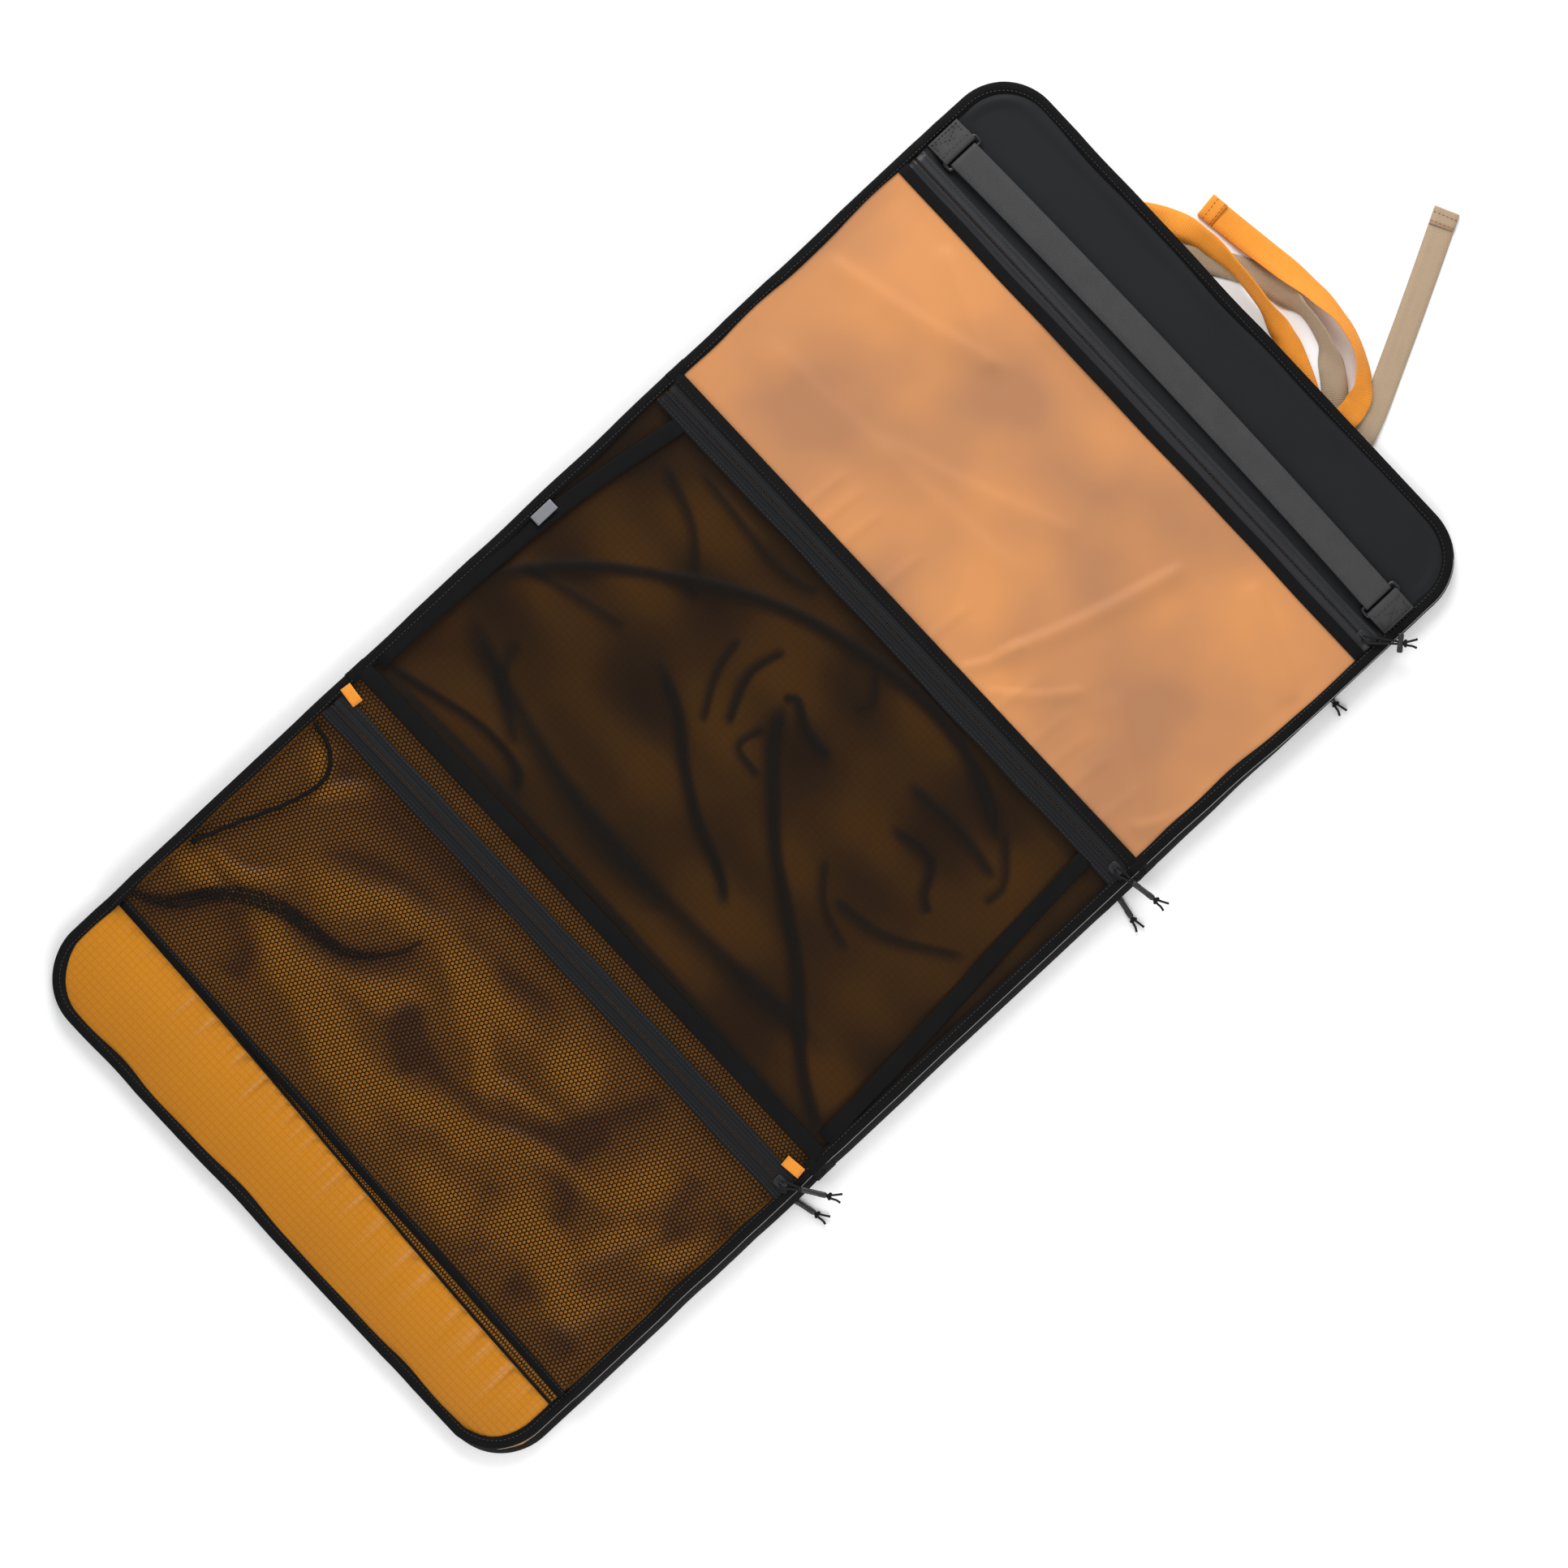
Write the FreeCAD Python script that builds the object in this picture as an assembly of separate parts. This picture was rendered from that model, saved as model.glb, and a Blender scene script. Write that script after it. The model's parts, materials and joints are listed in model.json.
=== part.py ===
"""Three-panel fold-out packing organiser, lying open and flat on its back.

Three equal panels are joined by two fabric spines, so the organiser folds in thirds like a letter.
The lower panel carries a coarse mesh pocket, the middle panel a fine mesh pocket, and the upper
panel a frosted window pocket and a black head with a webbing handle. Behind each lining lies a
back pocket with its own zip. Two tie straps are sewn to the back of the head.

Units are millimetres. +X runs across the panels, to the side where the zips close, +Y from the
lower panel to the head, and +Z up from the table. The origin is under the middle of the whole organiser.
"""
import FreeCAD, Part
import math
import os

V = FreeCAD.Vector
Z_AXIS = V(0, 0, 1)

# Plan
PANEL_LOW = 338.0            # length of the lower panel, from its end to its fold
PANEL_MID = 329.0
PANEL_UP = 342.0
HALF_WIDTH = 260.0           # middle to the outside of the edge binding
CORNER_R = 47.0              # outer corners at the two short ends
FOLD_GAP = 0.3               # each panel stops this far from its fold line
TOP = (PANEL_LOW + PANEL_MID + PANEL_UP) / 2
BOTTOM = -TOP
FOLD_LOW = BOTTOM + PANEL_LOW    # fold line between the lower and the middle panel
FOLD_UP = TOP - PANEL_UP         # fold line between the middle and the upper panel
LOW_END = FOLD_LOW - FOLD_GAP
MID_START = FOLD_LOW + FOLD_GAP
MID_END = FOLD_UP - FOLD_GAP
UP_START = FOLD_UP + FOLD_GAP
SPINE_HALF = 12.0            # half the width of a spine strip

# Layers, from the table up
SHEET = 1.2                  # back sheet and spines
TUNNEL = 5.0                 # height of the back sheet where it clears a back zip or a strap
RAMP = 20.0                  # length of back sheet that climbs to the tunnel
LINING_Z = 7.9
LINING = 0.8
LINING_TOP = LINING_Z + LINING
FRONT_Z = 13.2
FRONT = 0.8
FRONT_TOP = FRONT_Z + FRONT

# Edges
WALL = 2.5                   # binding at the outside of an edge
GUSSET = 1.5                 # pocket side wall
LAP = 10.0                   # how far the binding laps onto a face
TAPE_FOLD = 1.0              # thickness of a binding lap
BODY_HALF = HALF_WIDTH - WALL
INNER_HALF = BODY_HALF - GUSSET
CLEAR_HALF = HALF_WIDTH - LAP - 0.2

# Zips: levels are heights out from the tape's outer face
TAPE = 0.5
TAPE_HALF = 12.0
HEAD_TAPE_HALF = 9.0
COIL = 1.2
COIL_HALF = 3.0
SLIT = 0.7                   # half the gap between the two coils, where a slider's neck runs
SHEET_LAP = 8.0              # a sheet stops this far from the zip's middle
SLOT_HALF = 5.5              # half the slot in a back sheet, behind its zip
PLATE = (1.3, 1.85)
INNER_PLATE = (0.1, 0.7)     # below the tape's inner face
CORD_LEVEL = 2.8
BRIDGE = (3.75, 4.2)
SLIDER_LENGTH = 11.0
SLIDER_HALF = 4.0
NECK_HALF = 0.5

# Zip lines
MESH_ZIP = FOLD_LOW - 30.0
FINE_ZIP = FOLD_UP - 15.5
HEAD_ZIP = FOLD_UP + 238.0
LOW_BACK_ZIP = FOLD_LOW - 36.0
MID_BACK_ZIP = FOLD_UP - 25.0
UP_BACK_ZIP = FOLD_UP + 194.0
SLIDER_X = 241.0
UP_BACK_SLIDER_X = 226.0

# Pulls
CORD_D = 1.7
LOOP_R = 2.4
LOOP_X = 0.3                 # middle of the cord's turn, ahead of the foot that it hangs on
FOOT_X = 2.2                 # that foot, ahead of the slider's middle
FOOT_HALF = 0.6
REAR_FOOT_X = -2.9
CORD_GAP = 0.3               # from the cord's end to the sleeve
SLEEVE_R = 1.5
SLEEVE_LENGTH = 20.0
SLEEVE_START = 14.0
TOGGLE_START = 25.0
TOGGLE_LENGTH = 15.0
KNOT_R = 1.45
KNOT_LENGTH = 4.6
TAIL_LENGTH = 9.0
TAIL_GAP = 0.3               # from the knot to the tails, which lean outwards

# Pockets
HEM = BOTTOM + 84.0          # lower edge of the coarse mesh pocket
WINDOW_TOP = FOLD_UP + 223.0
HEAD_START = HEAD_ZIP + 5.0
HEAD_PANEL_Z = 8.8

LABEL_Y = 17.0               # middle of the blank side label
TAB_X = 234.0                # inner end of the pull tabs at the ends of the coarse mesh zip

# Handle
HANDLE_Y = FOLD_UP + 268.0
WEBBING_HALF = 12.5
WEBBING = 1.2
RING_Z = 12.7
RING_BAR = 1.3               # half the thickness of a ring's bar
RING_GAP = 0.4               # between a bar and the webbing round it
RING_INNER_X = 225.5
RING_OUTER_X = 233.0
RING_HALF = 15.2

# Tie straps
STRAP_WIDTH = 20.0
STRAP = 1.0
HEM_FOLD = 13.0              # the end folded under and sewn


def box(x0, x1, y0, y1, z0, z1):
    return Part.makeBox(x1 - x0, y1 - y0, z1 - z0, V(x0, y0, z0))


def both_sides(shape):
    """A shape and its mirror image in the YZ plane, as separate solids."""
    return Part.makeCompound([shape, shape.mirror(V(0, 0, 0), V(1, 0, 0))])


def prism_x(points_yz, x0, x1):
    """A polygon in the YZ plane, extruded along X."""
    corners = [V(x0, y, z) for y, z in points_yz]
    face = Part.Face(Part.makePolygon(corners + corners[:1]))
    return face.extrude(V(x1 - x0, 0, 0))


def prism_y(points_xz, y0, y1):
    """A polygon in the XZ plane, extruded along Y."""
    corners = [V(x, y0, z) for x, z in points_xz]
    face = Part.Face(Part.makePolygon(corners + corners[:1]))
    return face.extrude(V(0, y1 - y0, 0))


def slab(half, y0, y1, z0, z1, low_r=0.0, high_r=0.0):
    """A flat panel with rounded corners at its low or high end."""
    plate = box(-half, half, y0, y1, z0, z1)
    for radius, low in ((low_r, True), (high_r, False)):
        if radius:
            end = y0 if low else y1
            edges = [
                e for e in plate.Edges
                if abs(e.Vertexes[0].X - e.Vertexes[-1].X) < 1e-6
                and abs(e.Vertexes[0].Y - end) < 1e-6
                and abs(e.Vertexes[-1].Y - end) < 1e-6
            ]
            plate = plate.makeFillet(radius, edges)
    return plate


def end_slab(inset, y_fold, z0, z1, is_top):
    """A panel that reaches from a line across it to its rounded short end, set in from the edge."""
    radius = CORNER_R - inset
    half = HALF_WIDTH - inset
    if is_top:
        return slab(half, y_fold, TOP - inset, z0, z1, high_r=radius)
    return slab(half, BOTTOM + inset, y_fold, z0, z1, low_r=radius)


def back_sheet(y0, y1, zip_y, flat_after, outline):
    """The back fabric: on the table, then up a ramp and over its zip, which lies in a slot."""
    climb = zip_y - TAPE_HALF - RAMP
    under = [(y0, 0), (climb, 0), (climb + RAMP, TUNNEL)]
    over = [(climb + RAMP, TUNNEL + SHEET), (climb, SHEET), (y0, SHEET)]
    top = [(y1, TUNNEL), (y1, TUNNEL + SHEET)]
    sheet = prism_x(under + top + over, -BODY_HALF, BODY_HALF)
    slot = box(-CLEAR_HALF, CLEAR_HALF, zip_y - SLOT_HALF, zip_y + SLOT_HALF, 0, flat_after)
    return sheet.common(outline).cut(slot)


def side_wall(y0, y1, zip_y, top):
    """The binding down the right side: from the back sheet's underside up to the pocket's edge."""
    climb = zip_y - TAPE_HALF - RAMP
    outline = [(y0, 0), (climb, 0), (climb + RAMP, TUNNEL), (y1, TUNNEL), (y1, top), (y0, top)]
    return prism_x(outline, BODY_HALF, HALF_WIDTH)


def side_binding(y0, y1, zip_y, wall_y0=None):
    """Both side bindings of a pocket, each with its lap on the pocket's face."""
    wall = side_wall(y0 if wall_y0 is None else wall_y0, y1, zip_y, FRONT_TOP)
    lap = box(HALF_WIDTH - LAP, HALF_WIDTH, y0, y1, FRONT_TOP, FRONT_TOP + TAPE_FOLD)
    return both_sides(wall.fuse(lap).removeSplitter())


def gusset(y0, y1, strip=None):
    """The pocket's walls: two sides and the end at y0, and a strip past the zip if it has one."""
    side = box(INNER_HALF, BODY_HALF, y0, y1, LINING_TOP, FRONT_TOP)
    end = box(-INNER_HALF, INNER_HALF, y0, y0 + GUSSET, LINING_TOP, FRONT_Z)
    solids = [end] + both_sides(side).Solids
    if strip:
        solids.append(box(-INNER_HALF, INNER_HALF, strip[0], strip[1], FRONT_Z, FRONT_TOP))
    return Part.makeCompound(solids)


def zip_tape(y, face, side, half=TAPE_HALF):
    """The two tapes of a closed zip. Side is +1 where the coils face up, -1 where they face down."""
    z0, z1 = sorted((face, face - side * TAPE))
    return Part.makeCompound([
        box(-CLEAR_HALF, CLEAR_HALF, y - half, y - SLIT, z0, z1),
        box(-CLEAR_HALF, CLEAR_HALF, y + SLIT, y + half, z0, z1),
    ])


def zip_coil(y, face, side):
    """The two rows of coil, with the slider's slit between them."""
    z0, z1 = sorted((face, face + side * COIL))
    return Part.makeCompound([
        box(-CLEAR_HALF, CLEAR_HALF, y - COIL_HALF, y - SLIT, z0, z1),
        box(-CLEAR_HALF, CLEAR_HALF, y + SLIT, y + COIL_HALF, z0, z1),
    ])


def slider(x, y, face, side):
    """A zip slider: outer and inner plates joined by a neck, and a bridge that the cord runs under."""
    def level_box(x0, x1, half, low, high):
        z0, z1 = sorted((face + side * low, face + side * high))
        return box(x + x0, x + x1, y - half, y + half, z0, z1)

    half_length = SLIDER_LENGTH / 2
    inner_low, inner_high = -TAPE - INNER_PLATE[1], -TAPE - INNER_PLATE[0]
    body = level_box(-half_length, half_length, SLIDER_HALF, *PLATE)
    body = body.fuse(level_box(-half_length, half_length, SLIDER_HALF, inner_low, inner_high))
    body = body.fuse(level_box(3.0, 5.0, NECK_HALF, inner_high, PLATE[0]))
    for foot in (REAR_FOOT_X, FOOT_X):
        body = body.fuse(level_box(foot - FOOT_HALF, foot + FOOT_HALF, 0.8, PLATE[1], BRIDGE[0]))
    bridge = level_box(REAR_FOOT_X - FOOT_HALF, FOOT_X + FOOT_HALF, 0.8, *BRIDGE)
    return body.fuse(bridge).removeSplitter()


def at_pull(shape, x, y, angle):
    """Turns a pull's piece to its resting direction and carries it to its slider."""
    shape.rotate(V(0, 0, 0), Z_AXIS, angle)
    shape.translate(V(x + FOOT_X, y, 0))
    return shape


def pull_cord(x, y, z, angle, reach):
    """The cord loop: out of the sleeve, round under the slider's bridge and back."""
    start = V(reach - CORD_GAP, CORD_D / 2 + 0.1, z)
    run = V(start.x - LOOP_X, start.y, 0)
    touch = math.atan2(run.y, run.x) + math.acos(LOOP_R / run.Length)
    near = V(LOOP_X + LOOP_R * math.cos(touch), LOOP_R * math.sin(touch), z)
    far = V(near.x, -near.y, z)
    turn = Part.Arc(near, V(LOOP_X - LOOP_R, 0, z), far)
    path = Part.Wire([
        Part.LineSegment(start, near).toShape(),
        turn.toShape(),
        Part.LineSegment(far, V(start.x, -start.y, z)).toShape(),
    ])
    ring = Part.Wire(Part.makeCircle(CORD_D / 2, start, near - start))
    tube = path.makePipeShell([ring], True, False)
    print("pull cord: length %.1f, volume over section times length %.3f"
          % (path.Length, tube.Volume / (math.pi * (CORD_D / 2) ** 2 * path.Length)))
    return at_pull(tube, x, y, angle)


def pull_end(x, y, z, angle, toggle):
    """The moulded sleeve or cross toggle, the knot behind it and the cord's two cut tails."""
    if toggle:
        grip = Part.makeCylinder(SLEEVE_R, TOGGLE_LENGTH, V(TOGGLE_START + SLEEVE_R, -TOGGLE_LENGTH / 2, z), V(0, 1, 0))
        knot_x = TOGGLE_START + 2 * SLEEVE_R
    else:
        grip = Part.makeCylinder(SLEEVE_R, SLEEVE_LENGTH, V(SLEEVE_START, 0, z), V(1, 0, 0))
        knot_x = SLEEVE_START + SLEEVE_LENGTH
    centre = V(knot_x + KNOT_R, -KNOT_LENGTH / 2, z)
    knot = Part.makeCylinder(KNOT_R, KNOT_LENGTH, centre, V(0, 1, 0))
    tails = [
        Part.makeCylinder(CORD_D / 2, TAIL_LENGTH, V(knot_x + 2 * KNOT_R + TAIL_GAP, s * 1.2, z), V(1, s * 0.25, 0))
        for s in (-1, 1)
    ]
    return at_pull(Part.makeCompound([grip, knot] + tails), x, y, angle)


def handle_strap():
    """Flat webbing between the two rings, each end turned back under its ring's inner bar."""
    y0, y1 = HANDLE_Y - WEBBING_HALF, HANDLE_Y + WEBBING_HALF
    low = RING_Z + RING_BAR + RING_GAP
    strap = box(-RING_INNER_X, RING_INNER_X, y0, y1, low, low + WEBBING)
    outer = Part.makeCylinder(RING_BAR + RING_GAP + WEBBING, y1 - y0, V(RING_INNER_X, y0, RING_Z), V(0, 1, 0))
    bore = Part.makeCylinder(RING_BAR + RING_GAP, y1 - y0, V(RING_INNER_X, y0, RING_Z), V(0, 1, 0))
    outside = box(RING_INNER_X, RING_INNER_X + 10, y0, y1, 0, 30)
    under = RING_Z - RING_BAR - RING_GAP
    back = prism_y([
        (RING_INNER_X, under), (RING_INNER_X - 4, under), (RING_INNER_X - 18, low),
        (RING_INNER_X - 21, low), (RING_INNER_X - 4, under - WEBBING), (RING_INNER_X, under - WEBBING),
    ], y0, y1)
    turn = outer.common(outside).cut(bore).fuse(back)
    return strap.fuse(both_sides(turn).Solids).removeSplitter()


def anchor_tabs():
    """Short webbing tabs, folded round the rings' outer bars and sewn down to the head panel."""
    half = WEBBING_HALF
    y0, y1 = HANDLE_Y - half, HANDLE_Y + half
    floor = HEAD_PANEL_Z + FRONT
    high = RING_Z + RING_BAR + RING_GAP
    under = RING_Z - RING_BAR - RING_GAP
    outer = Part.makeCylinder(RING_BAR + RING_GAP + WEBBING, y1 - y0, V(RING_OUTER_X, y0, RING_Z), V(0, 1, 0))
    bore = Part.makeCylinder(RING_BAR + RING_GAP, y1 - y0, V(RING_OUTER_X, y0, RING_Z), V(0, 1, 0))
    inside = box(RING_OUTER_X - 10, RING_OUTER_X, y0, y1, 0, 30)
    end = CLEAR_HALF
    upper = prism_y([
        (RING_OUTER_X, high), (end - 4, floor + WEBBING), (end, floor + WEBBING),
        (end, floor + 2 * WEBBING), (end - 4, floor + 2 * WEBBING), (RING_OUTER_X, high + WEBBING),
    ], y0, y1)
    lower = prism_y([
        (RING_OUTER_X, under - WEBBING), (end - 6, floor), (end, floor),
        (end, floor + WEBBING), (end - 4, floor + WEBBING), (RING_OUTER_X, under),
    ], y0, y1)
    tab = outer.common(inside).cut(bore).fuse([upper, lower]).removeSplitter()
    return both_sides(tab)


def rings():
    """Rectangular plastic rings, one at each end of the handle."""
    bar = RING_BAR
    outline = box(RING_INNER_X - bar, RING_OUTER_X + bar, HANDLE_Y - RING_HALF, HANDLE_Y + RING_HALF,
                  RING_Z - bar, RING_Z + bar)
    hole = box(RING_INNER_X + bar, RING_OUTER_X - bar, HANDLE_Y - RING_HALF + 2 * bar - 0.1,
               HANDLE_Y + RING_HALF - 2 * bar + 0.1, 0, 30)
    ring = outline.cut(hole)
    return both_sides(ring.makeFillet(bar * 0.9, ring.Edges))


def head_panel():
    """The black head fabric: under the zip tape, down a short slope, then flat to the rounded end."""
    low, high = HEAD_PANEL_Z, FRONT_Z
    profile = [
        (HEAD_START, high), (HEAD_START + 3, high), (HEAD_START + 7, low), (TOP, low),
        (TOP, low + FRONT), (HEAD_START + 7.5, low + FRONT), (HEAD_START + 3.5, high + FRONT),
        (HEAD_START, high + FRONT),
    ]
    outline = end_slab(WALL, HEAD_START, 0, 30, True)
    return prism_x(profile, -BODY_HALF, BODY_HALF).common(outline)


def end_binding(y_start, top, under, is_top):
    """The binding round a short end and its two rounded corners."""
    wall = end_slab(0, y_start, under, top, is_top).cut(end_slab(WALL, y_start, under, top, is_top))
    lap = end_slab(0, y_start, top, top + TAPE_FOLD, is_top)
    lap = lap.cut(end_slab(LAP, y_start, top, top + TAPE_FOLD, is_top))
    return wall.fuse(lap).removeSplitter()


def ribbon(stations, width, thickness):
    """A flat strap through stations (x, y, z, heading, lean, pitch): its middle, its direction in
    plan, how far it is turned about its own line, and its slope, all angles in degrees."""
    sections = []
    for x, y, z, heading, lean, pitch in stations:
        h, lean, pitch = math.radians(heading), math.radians(lean), math.radians(pitch)
        along = V(math.cos(h) * math.cos(pitch), math.sin(h) * math.cos(pitch), math.sin(pitch))
        flat = V(-math.sin(h), math.cos(h), 0)
        normal = along.cross(flat)
        across = flat * math.cos(lean) + normal * math.sin(lean)
        normal = along.cross(across)
        a, n = across * (width / 2), normal * (thickness / 2)
        middle = V(x, y, z)
        sections.append([middle - a - n, middle + a - n, middle + a + n, middle - a + n])
    return ruled_solid(sections)


def ruled_solid(sections):
    """A closed solid through four-cornered sections, each side a ruled face between two of them."""
    def side(section, k):
        return Part.makeLine(section[k], section[(k + 1) % 4])

    faces = [Part.Face(Part.makePolygon(end + end[:1])) for end in (sections[0], sections[-1])]
    for near, far in zip(sections, sections[1:]):
        faces += [Part.makeRuledSurface(side(near, k), side(far, k)) for k in range(4)]
    shell = Part.makeShell(faces)
    shell.sewShape()
    solid = Part.makeSolid(shell)
    if solid.Volume < 0:
        solid.reverse()
    return solid


# Each strap is sewn to the back of the head, loops out past its edge and is folded back on itself
# under the head, where it is sewn again. Its free tail lies on the table past the head. The lean
# counts on from the fold, where the strap turns over.
ORANGE_STATIONS = [
    (-128, 474, 3.4, 50, 0, 0),
    (-108, 495, 3.4, 42, 0, 0),
    (-84, 511, 3.6, 28, 0, 0),
    (-56, 520.5, 7.8, 12, 30, 0),
    (-24, 523, 11.4, -2, 60, 0),
    (8, 519.5, 10.6, -12, 60, 0),
    (32, 515, 6.6, -15, 24, 0),
    (54, 507, 3.4, -18, 0, 0),
    (80, 496, 2.9, -26, 0, 0),
    (102, 484, 2.9, -34, 0, 0),
    (116, 474.5, 2.9, -36, 0, 0),
    (116.9, 473.8, 3.5, -36, 0, 90),
    (116, 474.5, 4.1, 144, 180, 0),
    (112, 490, 4.1, 100, 180, 0),
    (113, 506, 4.1, 92, 180, 0),
    (111, 519, 6.0, 106, 196, 0),
    (102, 533, 11.5, 124, 228, 0),
    (84, 546, 13.5, 148, 242, 0),
    (58, 553, 14.5, 168, 238, 0),
    (28, 552, 12.6, 181, 218, 0),
    (-6, 547.5, 6.0, 187, 194, 0),
    (-40, 542.5, 1.6, 187, 184, 0),
    (-76, 538, 0.7, 188, 180, 0),
]
TAN_STATIONS = [
    (-86, 474, 0.6, 52, 0, 0),
    (-66, 495, 0.6, 44, 0, 0),
    (-42, 513, 0.6, 34, 0, 0),
    (-14, 529, 0.6, 26, 0, 0),
    (8, 535, 4.0, 14, 18, 0),
    (34, 537.5, 10.2, -4, 72, 0),
    (60, 533, 9.8, -22, 66, 0),
    (80, 522, 3.4, -36, 14, 0),
    (100, 507, 0.6, -38, 0, 0),
    (118, 492, 0.6, -38, 0, 0),
    (134, 480, 0.6, -36, 0, 0),
    (134.9, 479.3, 1.15, -36, 0, 90),
    (134, 480, 1.7, 144, 180, 0),
    (134, 492, 1.7, 100, 180, 0),
    (131, 506, 1.7, 104, 180, 0),
    (124, 524, 1.2, 112, 180, 0),
    (112, 548, 0.7, 116, 180, 0),
    (82, 608, 0.7, 115, 180, 0),
    (51, 667, 0.7, 114, 180, 0),
]


def strap_length(stations):
    points = [V(*s[:3]) for s in stations]
    return sum((b - a).Length for a, b in zip(points, points[1:]))


def tie_strap(stations):
    """A tie strap, with its free end folded back over itself and sewn."""
    x, y, z, heading = stations[-1][:4]
    hem = box(-HEM_FOLD, 0, -STRAP_WIDTH / 2, STRAP_WIDTH / 2, STRAP / 2, STRAP * 1.5)
    hem.rotate(V(0, 0, 0), Z_AXIS, heading)
    hem.translate(V(x, y, z))
    return ribbon(stations, STRAP_WIDTH, STRAP).fuse(hem)


def lower_panel():
    outline = end_slab(WALL, LOW_END, 0, 30, False)
    sheet_end = FOLD_LOW - SPINE_HALF - FOLD_GAP
    lining = end_slab(WALL, LOW_END, LINING_Z, LINING_TOP, False)
    tabs = box(TAB_X, CLEAR_HALF, MESH_ZIP + TAPE_HALF + 0.2, MESH_ZIP + TAPE_HALF + 9, FRONT_TOP, FRONT_TOP + 0.6)
    return {
        "lower_back_sheet": back_sheet(BOTTOM + WALL, sheet_end, LOW_BACK_ZIP, LINING_Z, outline),
        "lower_lining": lining,
        "lower_edge_binding": end_binding(HEM, LINING_TOP, 0, False),
        "mesh_side_binding": side_binding(HEM, LOW_END, LOW_BACK_ZIP),
        "mesh_front": box(-INNER_HALF, INNER_HALF, HEM, MESH_ZIP - SHEET_LAP, FRONT_Z, FRONT_TOP),
        "mesh_gusset": gusset(HEM, LOW_END, (MESH_ZIP + SHEET_LAP, LOW_END)),
        "mesh_hem_tape": box(-CLEAR_HALF, CLEAR_HALF, HEM, HEM + LAP, FRONT_TOP, FRONT_TOP + TAPE_FOLD),
        "mesh_zip_tape": zip_tape(MESH_ZIP, FRONT_TOP + TAPE, 1),
        "mesh_zip_coil": zip_coil(MESH_ZIP, FRONT_TOP + TAPE, 1),
        "mesh_zip_end_tabs": both_sides(tabs),
        "lower_back_zip": Part.makeCompound([
            zip_tape(LOW_BACK_ZIP, TUNNEL - TAPE, -1), zip_coil(LOW_BACK_ZIP, TUNNEL - TAPE, -1),
        ]),
    }


def middle_panel():
    start = FOLD_LOW + SPINE_HALF
    end = FOLD_UP - SPINE_HALF
    outline = box(-BODY_HALF, BODY_HALF, start, end, 0, 30)
    label = box(-CLEAR_HALF, 9 - CLEAR_HALF, LABEL_Y - 10, LABEL_Y + 10, FRONT_TOP, FRONT_TOP + 0.4)
    return {
        "middle_back_sheet": back_sheet(start, end, MID_BACK_ZIP, LINING_Z, outline),
        "middle_lining": box(-BODY_HALF, BODY_HALF, MID_START, MID_END, LINING_Z, LINING_TOP),
        "middle_side_binding": side_binding(MID_START, MID_END, MID_BACK_ZIP, start),
        "fine_mesh_front": box(-INNER_HALF, INNER_HALF, MID_START, FINE_ZIP - SHEET_LAP, FRONT_Z, FRONT_TOP),
        "fine_mesh_gusset": gusset(MID_START, MID_END, (FINE_ZIP + SHEET_LAP, MID_END)),
        "fine_mesh_seam_tape": box(-CLEAR_HALF, CLEAR_HALF, MID_START, MID_START + LAP,
                                   FRONT_TOP, FRONT_TOP + TAPE_FOLD),
        "fine_zip_tape": zip_tape(FINE_ZIP, FRONT_TOP + TAPE, 1),
        "fine_zip_coil": zip_coil(FINE_ZIP, FRONT_TOP + TAPE, 1),
        "side_label": label,
        "middle_back_zip": Part.makeCompound([
            zip_tape(MID_BACK_ZIP, TUNNEL - TAPE, -1), zip_coil(MID_BACK_ZIP, TUNNEL - TAPE, -1),
        ]),
        "lower_spine": box(-BODY_HALF, BODY_HALF, FOLD_LOW - SPINE_HALF, start, 0, SHEET),
        "upper_spine": box(-BODY_HALF, BODY_HALF, end, FOLD_UP + SPINE_HALF, 0, SHEET),
    }


def upper_panel():
    outline = end_slab(WALL, UP_START, 0, 30, True)
    start = FOLD_UP + SPINE_HALF + FOLD_GAP
    side_end = HEAD_START + 8.0
    head_top = HEAD_PANEL_Z + FRONT
    lining = end_slab(WALL, UP_START, LINING_Z, LINING_TOP, True)
    window = box(-INNER_HALF, INNER_HALF, UP_START, HEAD_ZIP - SHEET_LAP, FRONT_Z, FRONT_TOP)
    tapes = Part.makeCompound([
        box(-CLEAR_HALF, CLEAR_HALF, UP_START, UP_START + LAP, FRONT_TOP, FRONT_TOP + TAPE_FOLD),
        box(-CLEAR_HALF, CLEAR_HALF, WINDOW_TOP - 3, HEAD_ZIP - HEAD_TAPE_HALF, FRONT_TOP, FRONT_TOP + TAPE_FOLD),
    ])
    return {
        "upper_back_sheet": back_sheet(start, TOP - WALL, UP_BACK_ZIP, LINING_Z, outline),
        "upper_lining": lining,
        "window_side_binding": side_binding(UP_START, side_end, UP_BACK_ZIP, start),
        "head_edge_binding": end_binding(side_end, head_top, TUNNEL, True),
        "window_sheet": window,
        "window_gusset": gusset(UP_START, HEAD_START),
        "window_tapes": tapes,
        "head_panel": head_panel(),
        "head_zip_tape": zip_tape(HEAD_ZIP, FRONT_TOP + TAPE, 1, HEAD_TAPE_HALF),
        "head_zip_coil": zip_coil(HEAD_ZIP, FRONT_TOP + TAPE, 1),
        "handle_strap": handle_strap(),
        "handle_anchor_tabs": anchor_tabs(),
        "handle_rings": rings(),
        "upper_back_zip": Part.makeCompound([
            zip_tape(UP_BACK_ZIP, TUNNEL - TAPE, -1), zip_coil(UP_BACK_ZIP, TUNNEL - TAPE, -1),
        ]),
        "tie_strap_orange": tie_strap(ORANGE_STATIONS),
        "tie_strap_tan": tie_strap(TAN_STATIONS),
    }


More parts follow.
